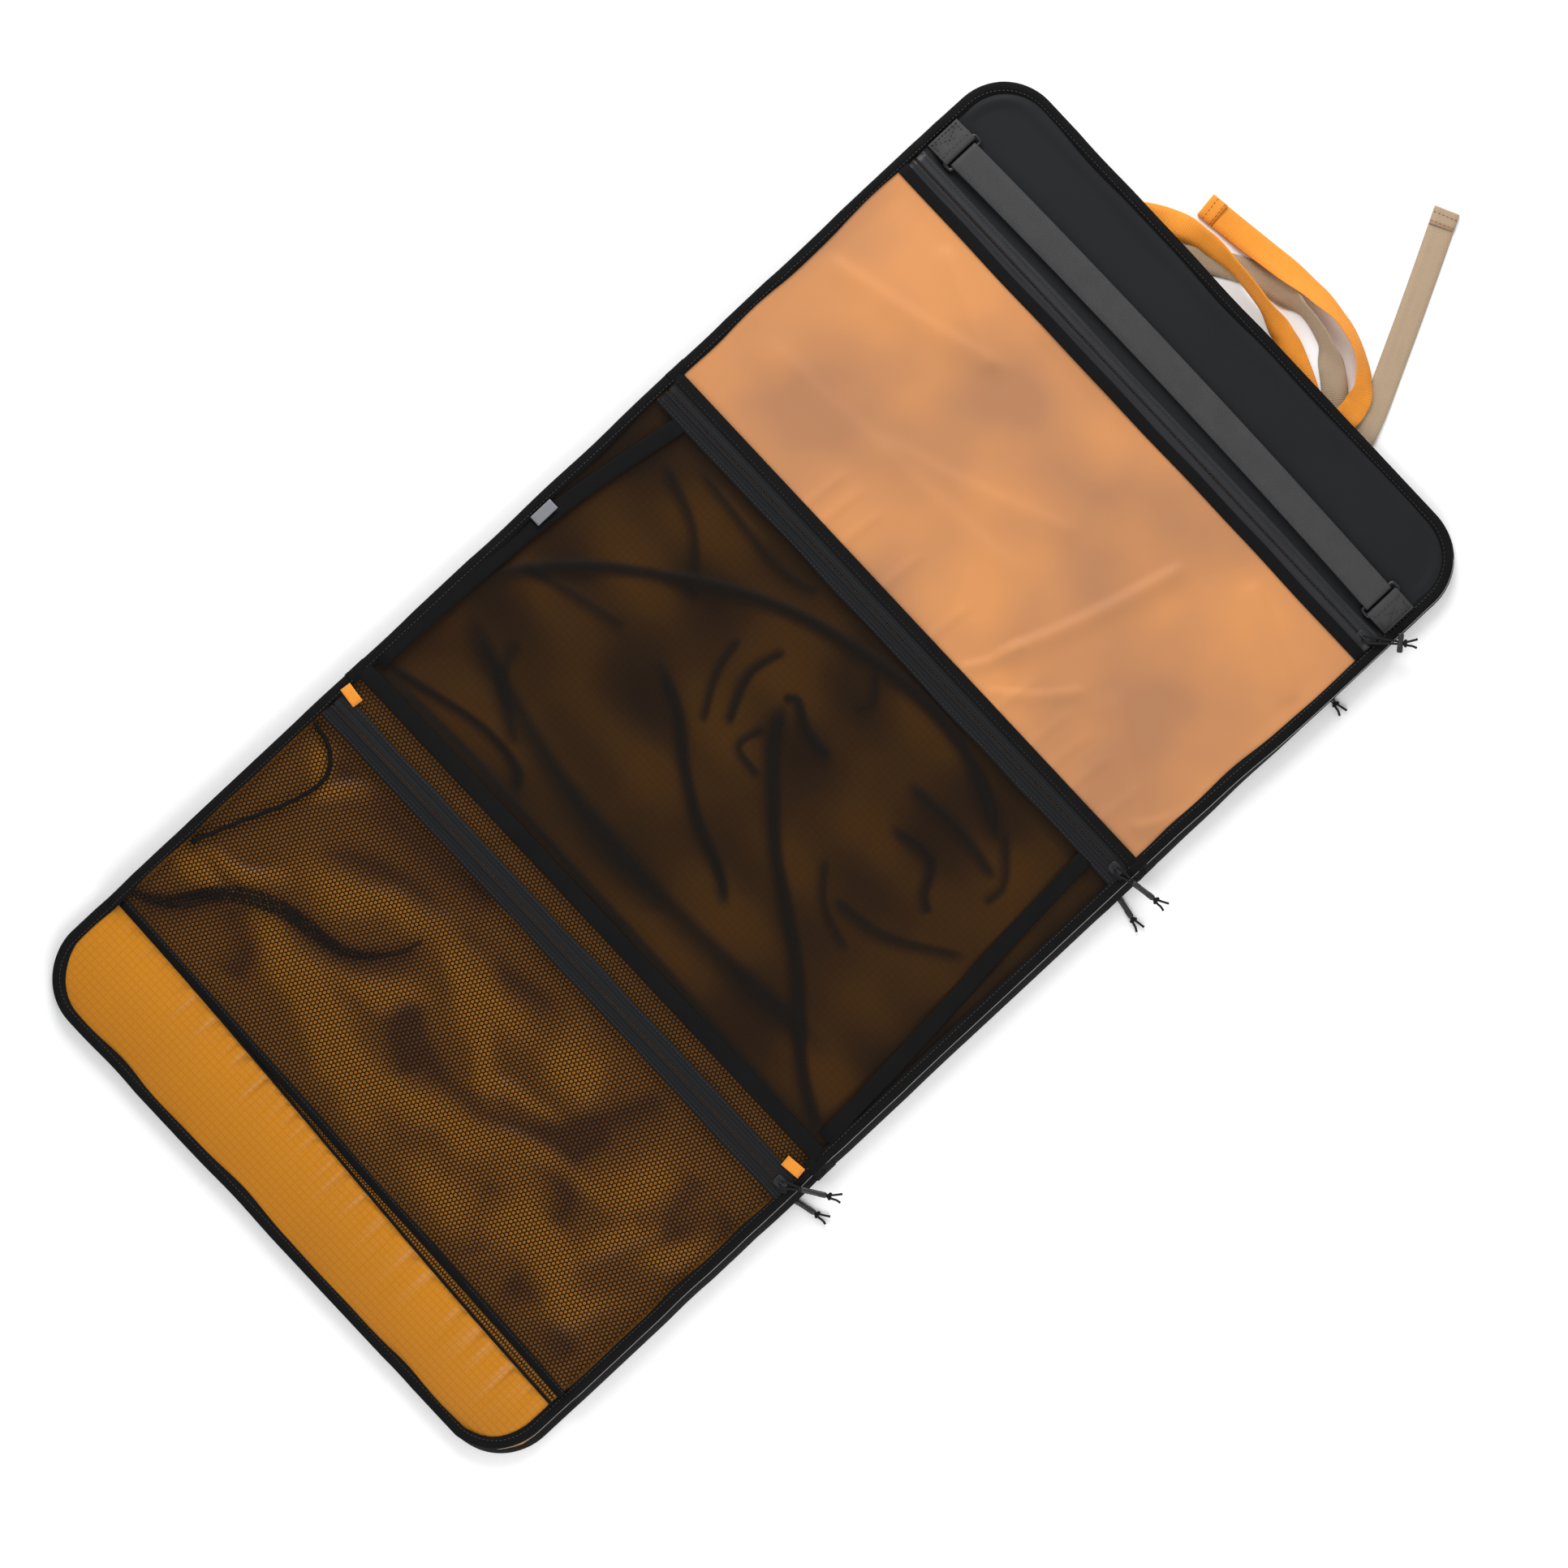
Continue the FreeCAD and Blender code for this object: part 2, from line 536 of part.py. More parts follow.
# name: (zip line, slider's place along it, tape's outer face, side, resting direction, cross toggle)
PULLS = {
    "mesh": (MESH_ZIP, SLIDER_X, FRONT_TOP + TAPE, 1, 32, False),
    "fine": (FINE_ZIP, SLIDER_X, FRONT_TOP + TAPE, 1, 7, False),
    "head": (HEAD_ZIP, SLIDER_X, FRONT_TOP + TAPE, 1, 42, True),
    "low_back": (LOW_BACK_ZIP, SLIDER_X, TUNNEL - TAPE, -1, 12, False),
    "mid_back": (MID_BACK_ZIP, SLIDER_X, TUNNEL - TAPE, -1, -8, False),
    "up_back": (UP_BACK_ZIP, UP_BACK_SLIDER_X, TUNNEL - TAPE, -1, -4, False),
}


def pulls():
    """Six sliders, each with its cord loop and the sleeve, knot and tails at the cord's end."""
    made = {}
    for name, (y, x, face, side, angle, toggle) in PULLS.items():
        z = face + side * CORD_LEVEL
        reach = TOGGLE_START if toggle else SLEEVE_START
        made[name + "_slider"] = slider(x, y, face, side)
        made[name + "_pull_cord"] = pull_cord(x, y, z, angle, reach)
        made[name + "_pull_end"] = pull_end(x, y, z, angle, toggle)
    return made


def main():
    os.makedirs("parts", exist_ok=True)
    nodes = {**lower_panel(), **middle_panel(), **upper_panel(), **pulls()}
    print("nodes:", len(nodes))
    print("orange strap %.0f mm, tan strap %.0f mm" % (strap_length(ORANGE_STATIONS), strap_length(TAN_STATIONS)))
    for name, shape in nodes.items():
        if not shape.isValid() or not shape.Solids or any(s.Volume <= 0 for s in shape.Solids):
            print("CHECK", name, shape.isValid(), [round(s.Volume, 2) for s in shape.Solids])
        shape.exportStep(os.path.join("parts", name + ".step"))


main()
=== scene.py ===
"""The looks of a fold-out packing organiser, built around its packed frame.

Three panels lie open on a pale floor: a coarse net pocket, a fine tricot pocket and a frosted window
pocket, each over an orange ripstop lining, with a coated black head, a webbing handle, six zips with
cord pulls, and two tie straps. Lengths are in metres unless a name ends in _mm.
"""

import json
import math

import bmesh
import bpy
import numpy as np
from mathutils import Matrix, Vector
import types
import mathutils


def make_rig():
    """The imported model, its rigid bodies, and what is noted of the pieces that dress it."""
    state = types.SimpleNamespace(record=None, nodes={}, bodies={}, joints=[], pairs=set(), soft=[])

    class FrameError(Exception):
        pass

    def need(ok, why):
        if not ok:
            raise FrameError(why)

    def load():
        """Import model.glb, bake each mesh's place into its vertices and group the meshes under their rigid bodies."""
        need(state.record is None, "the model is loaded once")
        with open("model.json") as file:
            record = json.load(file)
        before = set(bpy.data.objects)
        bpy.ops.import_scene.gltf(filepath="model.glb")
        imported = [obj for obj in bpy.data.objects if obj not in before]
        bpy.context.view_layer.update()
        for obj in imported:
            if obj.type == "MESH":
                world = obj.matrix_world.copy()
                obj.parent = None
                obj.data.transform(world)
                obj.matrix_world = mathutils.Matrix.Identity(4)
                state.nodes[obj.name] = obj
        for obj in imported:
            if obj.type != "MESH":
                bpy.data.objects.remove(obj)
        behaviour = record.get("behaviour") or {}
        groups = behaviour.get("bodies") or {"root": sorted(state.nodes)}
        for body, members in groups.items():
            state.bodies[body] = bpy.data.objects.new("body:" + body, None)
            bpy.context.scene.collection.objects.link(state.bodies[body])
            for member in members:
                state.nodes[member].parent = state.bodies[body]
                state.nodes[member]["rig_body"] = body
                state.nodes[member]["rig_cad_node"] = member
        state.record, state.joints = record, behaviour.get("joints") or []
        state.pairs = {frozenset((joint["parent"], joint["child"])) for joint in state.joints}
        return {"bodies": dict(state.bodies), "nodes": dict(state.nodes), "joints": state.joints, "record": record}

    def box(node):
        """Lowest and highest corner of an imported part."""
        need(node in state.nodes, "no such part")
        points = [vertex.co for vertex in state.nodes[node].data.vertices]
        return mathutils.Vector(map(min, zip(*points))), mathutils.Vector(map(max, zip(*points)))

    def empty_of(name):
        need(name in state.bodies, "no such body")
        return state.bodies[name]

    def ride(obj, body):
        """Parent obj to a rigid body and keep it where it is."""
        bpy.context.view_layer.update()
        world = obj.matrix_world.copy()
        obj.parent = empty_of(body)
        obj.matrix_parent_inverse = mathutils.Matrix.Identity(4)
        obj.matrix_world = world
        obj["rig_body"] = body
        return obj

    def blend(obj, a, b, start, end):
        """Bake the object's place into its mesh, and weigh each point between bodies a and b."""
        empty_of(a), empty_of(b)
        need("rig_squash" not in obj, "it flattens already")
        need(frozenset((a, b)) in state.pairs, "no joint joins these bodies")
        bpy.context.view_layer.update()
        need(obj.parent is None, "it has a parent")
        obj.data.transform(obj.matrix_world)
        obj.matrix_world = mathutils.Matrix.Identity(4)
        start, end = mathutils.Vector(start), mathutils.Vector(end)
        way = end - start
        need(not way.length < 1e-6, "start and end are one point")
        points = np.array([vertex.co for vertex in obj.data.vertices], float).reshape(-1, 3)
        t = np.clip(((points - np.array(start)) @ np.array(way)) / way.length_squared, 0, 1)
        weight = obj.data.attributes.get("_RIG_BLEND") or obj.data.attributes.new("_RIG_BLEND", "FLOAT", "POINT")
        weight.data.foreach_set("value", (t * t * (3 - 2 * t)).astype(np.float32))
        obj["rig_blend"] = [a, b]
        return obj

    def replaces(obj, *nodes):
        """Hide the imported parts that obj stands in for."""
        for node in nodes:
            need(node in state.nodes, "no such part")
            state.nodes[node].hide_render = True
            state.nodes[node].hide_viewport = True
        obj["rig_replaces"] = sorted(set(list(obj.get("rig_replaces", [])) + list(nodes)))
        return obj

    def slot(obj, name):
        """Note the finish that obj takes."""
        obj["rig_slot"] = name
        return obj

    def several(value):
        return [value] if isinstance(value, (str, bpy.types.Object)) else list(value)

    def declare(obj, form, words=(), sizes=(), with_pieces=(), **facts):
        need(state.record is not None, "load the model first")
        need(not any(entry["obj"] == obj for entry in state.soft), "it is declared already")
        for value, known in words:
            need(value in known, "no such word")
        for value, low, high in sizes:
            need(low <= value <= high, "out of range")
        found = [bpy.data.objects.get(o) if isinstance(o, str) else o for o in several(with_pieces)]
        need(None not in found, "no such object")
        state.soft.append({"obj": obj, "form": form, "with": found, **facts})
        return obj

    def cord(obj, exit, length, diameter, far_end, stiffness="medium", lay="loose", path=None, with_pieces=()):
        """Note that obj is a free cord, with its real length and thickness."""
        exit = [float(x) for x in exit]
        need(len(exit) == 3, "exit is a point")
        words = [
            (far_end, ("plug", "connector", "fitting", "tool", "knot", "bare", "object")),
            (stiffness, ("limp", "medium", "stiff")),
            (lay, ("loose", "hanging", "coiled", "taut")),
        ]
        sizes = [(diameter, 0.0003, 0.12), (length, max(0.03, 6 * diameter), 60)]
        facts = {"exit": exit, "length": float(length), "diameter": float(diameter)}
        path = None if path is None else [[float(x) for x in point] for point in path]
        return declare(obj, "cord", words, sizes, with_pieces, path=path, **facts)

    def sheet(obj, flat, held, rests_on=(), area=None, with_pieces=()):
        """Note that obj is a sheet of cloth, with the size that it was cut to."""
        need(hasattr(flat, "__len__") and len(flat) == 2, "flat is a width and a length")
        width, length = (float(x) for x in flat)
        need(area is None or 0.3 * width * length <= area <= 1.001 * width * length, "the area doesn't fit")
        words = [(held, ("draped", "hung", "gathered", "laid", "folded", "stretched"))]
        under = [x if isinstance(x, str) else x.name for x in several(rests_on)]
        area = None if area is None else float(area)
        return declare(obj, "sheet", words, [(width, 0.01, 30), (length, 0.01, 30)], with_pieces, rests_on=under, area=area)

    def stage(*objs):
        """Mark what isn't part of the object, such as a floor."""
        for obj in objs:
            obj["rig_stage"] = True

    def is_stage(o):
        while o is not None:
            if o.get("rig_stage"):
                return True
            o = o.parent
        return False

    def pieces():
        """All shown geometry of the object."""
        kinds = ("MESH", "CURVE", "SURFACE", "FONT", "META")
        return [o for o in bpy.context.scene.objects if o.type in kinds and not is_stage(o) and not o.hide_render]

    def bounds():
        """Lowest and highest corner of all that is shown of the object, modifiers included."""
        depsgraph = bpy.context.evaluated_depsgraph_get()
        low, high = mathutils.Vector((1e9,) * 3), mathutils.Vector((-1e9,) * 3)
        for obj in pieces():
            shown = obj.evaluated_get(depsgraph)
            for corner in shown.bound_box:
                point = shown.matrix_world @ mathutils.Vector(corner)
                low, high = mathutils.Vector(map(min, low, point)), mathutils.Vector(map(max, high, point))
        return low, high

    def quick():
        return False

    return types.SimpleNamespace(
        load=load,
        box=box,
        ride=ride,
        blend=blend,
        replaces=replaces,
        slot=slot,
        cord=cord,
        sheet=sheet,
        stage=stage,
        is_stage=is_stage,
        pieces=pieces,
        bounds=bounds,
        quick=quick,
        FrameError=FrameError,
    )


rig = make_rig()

bl_info = {
    "name": "Packing Organiser",
    "version": (1, 0, 0),
    "blender": (4, 5, 0),
    "location": "3D View > Sidebar > Organiser",
    "description": "Builds the fabrics, zips, cords and straps of a fold-out packing organiser",
    "category": "Add Mesh",
}

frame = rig.load()
CAD_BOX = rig.bounds()
MM = 0.001


# ---------------------------------------------------------------- places, read from the frame

def fold_line(name):
    """The Y of a fold's hinge."""
    return next(j for j in frame["joints"] if j["name"] == name)["pos_m"][1]


def middle_of(node):
    low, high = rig.box(node)
    return (low + high) / 2


FOLD_LOW = fold_line("lower_fold")
FOLD_UP = fold_line("upper_fold")
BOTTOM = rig.box("lower_edge_binding")[0].y
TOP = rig.box("head_edge_binding")[1].y
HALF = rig.box("head_edge_binding")[1].x
CORNER = 47 * MM
WALL = 2.5 * MM                              # thickness of the binding at an edge
BODY_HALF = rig.box("middle_lining")[1].x
ZIP_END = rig.box("mesh_zip_tape")[1].x
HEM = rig.box("mesh_front")[0].y
LINING_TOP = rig.box("middle_lining")[1].z
FRONT_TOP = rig.box("window_sheet")[1].z
TAPE_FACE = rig.box("fine_zip_tape")[1].z
BACK_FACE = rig.box("middle_back_zip")[1].z - 0.5 * MM
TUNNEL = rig.box("middle_back_zip")[1].z
HEAD_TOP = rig.box("head_panel")[0].z + 0.8 * MM
HEAD_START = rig.box("head_panel")[0].y
RAMP = 20 * MM
TAPE_HALF = 12 * MM
HEAD_TAPE_HALF = 9 * MM
ZIP_Y = {name: middle_of(name + "_slider").y for name in ("mesh", "fine", "head", "low_back", "mid_back", "up_back")}
SLIDER_X = {name: middle_of(name + "_slider").x for name in ZIP_Y}
FOOT_X = 2.2 * MM                            # the slider's front foot, which its cord goes round
HANDLE_Y = middle_of("handle_strap").y
RING_Z = middle_of("handle_rings").z
RING_BAR = 1.3 * MM
RING_X = (225.5 * MM, 233.0 * MM)            # the two long bars of a ring
RING_HALF = 15.2 * MM
STRAP_WIDTH = 20 * MM
STRAP_THICK = 1.0 * MM
PANEL_OF = {"mesh": "lower_panel", "fine": "middle_panel", "head": "upper_panel",
            "low_back": "lower_panel", "mid_back": "middle_panel", "up_back": "upper_panel"}


# ---------------------------------------------------------------- small tools

def linear(hex_colour):
    """An sRGB hex colour as linear red, green and blue."""
    parts = [int(hex_colour[i:i + 2], 16) / 255 for i in (1, 3, 5)]
    return tuple(c / 12.92 if c <= 0.04045 else ((c + 0.055) / 1.055) ** 2.4 for c in parts)


def ripples(seed, wavelength, count=10, spread=math.pi, heading=0.0):
    """A smooth random surface of about unit height: waves of mixed directions and lengths."""
    rng = np.random.default_rng(seed)
    turn = heading + rng.uniform(-spread, spread, count)
    wave = 2 * math.pi / (wavelength * rng.uniform(0.6, 1.8, count))
    phase = rng.uniform(0, 2 * math.pi, count)

    def height(x, y):
        total = 0
        for a, k, p in zip(turn, wave, phase):
            total = total + np.sin(k * (x * math.cos(a) + y * math.sin(a)) + p)
        return total / math.sqrt(count)
    return height


def smooth(t):
    t = np.clip(t, 0, 1)
    return t * t * (3 - 2 * t)


def crease(x, y, start, end, width, fade=0.25):
    """A soft ridge of unit height along a line, fading out towards its two ends."""
    (ax, ay), (bx, by) = start, end
    dx, dy = bx - ax, by - ay
    t = ((x - ax) * dx + (y - ay) * dy) / (dx * dx + dy * dy)
    away = ((x - ax) * dy - (y - ay) * dx) / math.hypot(dx, dy)
    ends = smooth(t / fade) * smooth((1 - t) / fade)
    return np.exp(-(away / width) ** 2) * ends


def curved(points, count=60):
    """Points of a smooth curve through a few points in plan."""
    knots = np.asarray(points, float)
    padded = np.concatenate([[2 * knots[0] - knots[1]], knots, [2 * knots[-1] - knots[-2]]])
    made = []
    for t in np.linspace(0, len(knots) - 1 - 1e-6, count):
        k, f = int(t), t - int(t)
        a, b, c, d = padded[k:k + 4]
        made.append(0.5 * (2 * b + (c - a) * f + (2 * a - 5 * b + 4 * c - d) * f ** 2 + (3 * b - a - 3 * c + d) * f ** 3))
    return np.asarray(made)


def fold_along(x, y, points, width, sharp=0.45):
    """A fold's height along a curve, from 0 to 1: one flank is steeper, and it fades at its ends."""
    line = curved(points, 220)
    along = np.gradient(line, axis=0)
    along /= np.linalg.norm(along, axis=1)[:, None]
    near = np.argmin((x[..., None] - line[:, 0]) ** 2 + (y[..., None] - line[:, 1]) ** 2, axis=-1)
    dx, dy = x - line[near, 0], y - line[near, 1]
    side = along[near, 0] * dy - along[near, 1] * dx
    reach = np.hypot(dx, dy)
    across = np.where(side > 0, reach / (width * sharp), reach / width)
    t = near / (len(line) - 1)
    return np.exp(-across ** 2) * smooth(t / 0.12) * smooth((1 - t) / 0.12)


def mounds(x, y, places):
    """Soft mounds, each (x, y, half length, half width, heading in degrees), that merge where they meet."""
    total = np.zeros_like(x)
    for cx, cy, long, wide, heading in places:
        a = math.radians(heading)
        u = ((x - cx) * math.cos(a) + (y - cy) * math.sin(a)) / long
        v = ((y - cy) * math.cos(a) - (x - cx) * math.sin(a)) / wide
        total = total + np.exp(-(u * u + v * v) ** 1.5)
    return np.clip(total, 0, 1)


def make_mesh(name, points, faces, material, uvs=None, smooth_faces=True):
    """A mesh object. uvs are one (u, v) per point, in metres along and across the cloth."""
    mesh = bpy.data.meshes.new(name)
    mesh.from_pydata([tuple(p) for p in points], [], faces)
    if uvs is not None:
        layer = mesh.uv_layers.new(name="cloth")
        corner_points = np.zeros(len(mesh.loops), np.int32)
        mesh.loops.foreach_get("vertex_index", corner_points)
        layer.data.foreach_set("uv", np.asarray(uvs, np.float32)[corner_points].ravel())
    mesh.polygons.foreach_set("use_smooth", [smooth_faces] * len(mesh.polygons))
    mesh.materials.append(material)
    mesh.update()
    piece = bpy.data.objects.new(name, mesh)
    bpy.context.scene.collection.objects.link(piece)
    return piece


def face_out(piece):
    """Merges doubles and turns every face outwards."""
    made = bmesh.new()
    made.from_mesh(piece.data)
    bmesh.ops.remove_doubles(made, verts=made.verts, dist=1e-6)
    bmesh.ops.recalc_face_normals(made, faces=made.faces)
    made.to_mesh(piece.data)
    made.free()
    return piece


def bake(piece):
    """Turns a piece and its modifiers into one plain mesh."""
    bpy.context.view_layer.update()
    ready = piece.evaluated_get(bpy.context.evaluated_depsgraph_get())
    mesh = bpy.data.meshes.new_from_object(ready)
    materials = list(piece.data.materials)
    piece.modifiers.clear()
    piece.data = mesh
    if not mesh.materials:
        for material in materials:
            mesh.materials.append(material)
    return piece


def modify(piece, kind, **settings):
    modifier = piece.modifiers.new(kind.title(), kind)
    for key, value in settings.items():
        setattr(modifier, key, value)
    return modifier


def grid_points(rows):
    """Faces of a grid given as rows of points, and the points in one list."""
    rows = np.asarray(rows, float)
    nv, nu = rows.shape[:2]
    at = np.arange(nv * nu).reshape(nv, nu)
    quads = np.stack([at[:-1, :-1], at[:-1, 1:], at[1:, 1:], at[1:, :-1]], -1).reshape(-1, 4)
    return rows.reshape(-1, rows.shape[2]), quads.tolist()


def sheet_piece(name, rows, material, thickness=0.0, lift=-1):
    """A sheet of cloth from rows of points, with its plan as its UV map."""
    points, faces = grid_points(rows)
    piece = make_mesh(name, points, faces, material, uvs=points[:, :2])
    if thickness:
        modify(piece, "SOLIDIFY", thickness=thickness, offset=lift)
        bake(piece)
    return piece


def sweep(name, sections, material, lengths=None, closed=True, caps=True):
    """A skin through closed sections of equal length, with its UV map along and round it."""
    points, quads = grid_points(sections)
    nv, nu = np.asarray(sections).shape[:2]
    if closed:
        for row in range(nv - 1):
            quads.append([row * nu + nu - 1, row * nu, (row + 1) * nu, (row + 1) * nu + nu - 1])
    if caps:
        quads.append(list(range(nu))[::-1])
        quads.append([(nv - 1) * nu + k for k in range(nu)])
    rows = np.asarray(sections, float)
    along = np.concatenate([[0], np.cumsum(np.linalg.norm(np.diff(rows.mean(1), axis=0), axis=1))])
    if lengths is not None:
        along = lengths
    around = np.concatenate([[0], np.cumsum(np.linalg.norm(np.diff(rows[0], axis=0), axis=1))])
    uvs = [(a, b) for a in along for b in around]
    return face_out(make_mesh(name, points, quads, material, uvs=uvs))


def tube(name, path, radius, material, sides=8):
    """A round tube along points."""
    path = [Vector(p) for p in path]
    radii = radius if hasattr(radius, "__len__") else [radius] * len(path)
    side = None
    sections = []
    for i, p in enumerate(path):
        along = (path[min(i + 1, len(path) - 1)] - path[max(i - 1, 0)]).normalized()
        if side is None:
            side = along.orthogonal().normalized()
        side = (side - along * side.dot(along)).normalized()
        up = along.cross(side)
        turns = [2 * math.pi * k / sides for k in range(sides)]
        sections.append([p + (side * math.cos(a) + up * math.sin(a)) * radii[i] for a in turns])
    return sweep(name, sections, material)


def join(name, pieces):
    """Several pieces as one, with every material kept."""
    made = bmesh.new()
    materials = []
    for piece in pieces:
        first = len(made.faces)
        made.from_mesh(piece.data)
        made.faces.ensure_lookup_table()
        for k in range(first, len(made.faces)):
            wanted = piece.data.materials[made.faces[k].material_index]
            if wanted not in materials:
                materials.append(wanted)
            made.faces[k].material_index = materials.index(wanted)
    mesh = bpy.data.meshes.new(name)
    for material in materials:
        mesh.materials.append(material)
    made.to_mesh(mesh)
    made.free()
    for piece in pieces:
        bpy.data.objects.remove(piece)
    joined = bpy.data.objects.new(name, mesh)
    bpy.context.scene.collection.objects.link(joined)
    return joined


def settle(piece, body, slot, *nodes):
    """The last step for a piece: its body, its material slot and the frame's nodes that it stands for."""
    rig.ride(piece, body)
    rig.slot(piece, slot)
    if nodes:
        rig.replaces(piece, *nodes)
    return piece


def nurbs_line(points, resolution=12):
    """The smooth line of a cord through its route's points, as a list of points."""
    curve = bpy.data.curves.new("route", "CURVE")
    curve.dimensions = "3D"
    spline = curve.splines.new("NURBS")
    spline.points.add(len(points) - 1)
    for point, place in zip(spline.points, points):
        point.co = (*place, 1)
    spline.order_u = 3
    spline.use_endpoint_u = True
    spline.resolution_u = resolution
    route = bpy.data.objects.new("route", curve)
    bpy.context.scene.collection.objects.link(route)
    bpy.context.view_layer.update()
    mesh = bpy.data.meshes.new_from_object(route.evaluated_get(bpy.context.evaluated_depsgraph_get()))
    line = [v.co.copy() for v in mesh.vertices]
    bpy.data.objects.remove(route)
    bpy.data.meshes.remove(mesh)
    return line


# ---------------------------------------------------------------- materials

def add_node(tree, kind, inputs=None, **settings):
    """A node with its settings, and its inputs as plain values or as sockets to link."""
    node = tree.nodes.new(kind)
    for key, value in settings.items():
        setattr(node, key, value)
    for key, value in (inputs or {}).items():
        if isinstance(value, bpy.types.NodeSocket):
            tree.links.new(value, node.inputs[key])
        else:
            node.inputs[key].default_value = value
    return node


def new_material(name):
    """A material with its shader and the tree that feeds it."""
    material = bpy.data.materials.new(name)
    material.use_nodes = True
    tree = material.node_tree
    return material, tree, tree.nodes["Principled BSDF"]


def shade_between(tree, factor, low, high):
    """A colour that goes from low to high as factor goes from 0 to 1."""
    ramp = add_node(tree, "ShaderNodeValToRGB", {"Fac": factor})
    ramp.color_ramp.elements[0].color = (*low, 1)
    ramp.color_ramp.elements[1].color = (*high, 1)
    return ramp.outputs["Color"]


def flat_place(tree):
    return add_node(tree, "ShaderNodeTexCoord").outputs["Object"]


def cloth_place(tree):
    return add_node(tree, "ShaderNodeUVMap", uv_map="cloth").outputs["UV"]


def threads(tree, place, pitch_mm, direction="X", sharp=1.0):
    """Rows of threads a real pitch apart, from 0 between threads to 1 on them."""
    wave = add_node(tree, "ShaderNodeTexWave", {
        "Vector": place, "Scale": 2 * math.pi / (20 * pitch_mm * MM), "Distortion": 0.0,
    }, wave_type="BANDS", bands_direction=direction, wave_profile="SIN")
    if sharp == 1.0:
        return wave.outputs["Fac"]
    return add_node(tree, "ShaderNodeMath", {0: wave.outputs["Fac"], 1: sharp}, operation="POWER").outputs[0]


def weave(tree, place, pitch_mm):
    """A plain weave: two sets of threads, multiplied."""
    warp = threads(tree, place, pitch_mm, "X")
    weft = threads(tree, place, pitch_mm, "Y")
    return add_node(tree, "ShaderNodeMath", {0: warp, 1: weft}, operation="MULTIPLY").outputs[0]


def clouds(tree, place, size_mm, detail=3.0):
    """Soft blotches of a real size."""
    return add_node(tree, "ShaderNodeTexNoise", {
        "Vector": place, "Scale": 1000 / size_mm, "Detail": detail,
    }).outputs["Fac"]


def bumped(tree, shader, height, depth_mm, strength=0.6):
    """Feeds a height into the shader's normal, with its real depth."""
    bump = add_node(tree, "ShaderNodeBump", {
        "Height": height, "Distance": depth_mm * MM, "Strength": strength,
    })
    tree.links.new(bump.outputs["Normal"], shader.inputs["Normal"])


def shell_polyester():
    """Woven polyester, 600 denier, charcoal: matt, with a faint grain from its coarse plain weave."""
    material, tree, shader = new_material("polyester_plain_weave_charcoal")
    place = flat_place(tree)
    cloth = weave(tree, place, 1.2)
    shade = add_node(tree, "ShaderNodeMath", {0: cloth, 1: clouds(tree, place, 60)}, operation="MULTIPLY")
    colour = shade_between(tree, shade.outputs[0], linear("#121316"), linear("#222327"))
    tree.links.new(colour, shader.inputs["Base Color"])
    shader.inputs["Roughness"].default_value = 0.78
    shader.inputs["Specular IOR Level"].default_value = 0.2
    bumped(tree, shader, cloth, 0.25)
    return material


def ripstop_nylon(colour):
    """Calendered nylon ripstop: a tight glossy weave with a raised square grid of doubled threads.

    Where it lies slack in a pocket, it gathers on itself and goes a deep brown."""
    material, tree, shader = new_material("nylon_ripstop_orange")
    place = flat_place(tree)
    grid_x = threads(tree, place, 5.0, "X", 9.0)
    grid_y = threads(tree, place, 5.0, "Y", 9.0)
    grid = add_node(tree, "ShaderNodeMath", {0: grid_x, 1: grid_y}, operation="MAXIMUM").outputs[0]
    blotch = clouds(tree, place, 90)
    tone = add_node(tree, "ShaderNodeMath", {0: blotch, 1: 0.25, 2: 0.3}, operation="MULTIPLY_ADD").outputs[0]
    tone = add_node(tree, "ShaderNodeMath", {0: grid, 1: -0.22, 2: tone}, operation="MULTIPLY_ADD").outputs[0]
    deep = tuple(c * 0.78 for c in colour)
    bright = tuple(min(1, c * 1.32) for c in colour)
    # Painted light and shade: the attribute blends from a deep brown of painted shade, at 0, to the lit cloth's colour,
    # at 1.
    taut = add_node(tree, "ShaderNodeAttribute", attribute_name="taut").outputs["Fac"]
    mix = add_node(tree, "ShaderNodeMix", {"Factor": taut}, data_type="RGBA", blend_type="MIX")
    mix.inputs["A"].default_value = (*(c * k for c, k in zip(colour, (0.20, 0.15, 0.10))), 1)
    tree.links.new(shade_between(tree, tone, deep, bright), mix.inputs["B"])
    tree.links.new(mix.outputs["Result"], shader.inputs["Base Color"])
    shader.inputs["Roughness"].default_value = 0.4
    shader.inputs["Specular IOR Level"].default_value = 0.3
    bumped(tree, shader, grid, 0.3, 0.5)
    return material


def grosgrain_binding():
    """Black polyester grosgrain: fine ribs straight across the tape, matt, worn a little paler."""
    material, tree, shader = new_material("polyester_grosgrain_black")
    place = cloth_place(tree)
    rib = threads(tree, place, 1.3, "X")
    wear = clouds(tree, place, 25)
    tone = add_node(tree, "ShaderNodeMath", {0: rib, 1: wear}, operation="MULTIPLY").outputs[0]
    tree.links.new(shade_between(tree, tone, linear("#060607"), linear("#121213")), shader.inputs["Base Color"])
    shader.inputs["Roughness"].default_value = 0.8
    shader.inputs["Specular IOR Level"].default_value = 0.12
    bumped(tree, shader, rib, 0.2, 0.5)
    return material


def knitted_net():
    """Warp-knitted polyester net, dyed black: matt yarn with a soft fuzz."""
    material, tree, shader = new_material("polyester_hexagonal_net_black")
    fuzz = clouds(tree, flat_place(tree), 2.0)
    tree.links.new(shade_between(tree, fuzz, linear("#060504"), linear("#15120F")), shader.inputs["Base Color"])
    shader.inputs["Roughness"].default_value = 0.85
    shader.inputs["Specular IOR Level"].default_value = 0.12
    return material


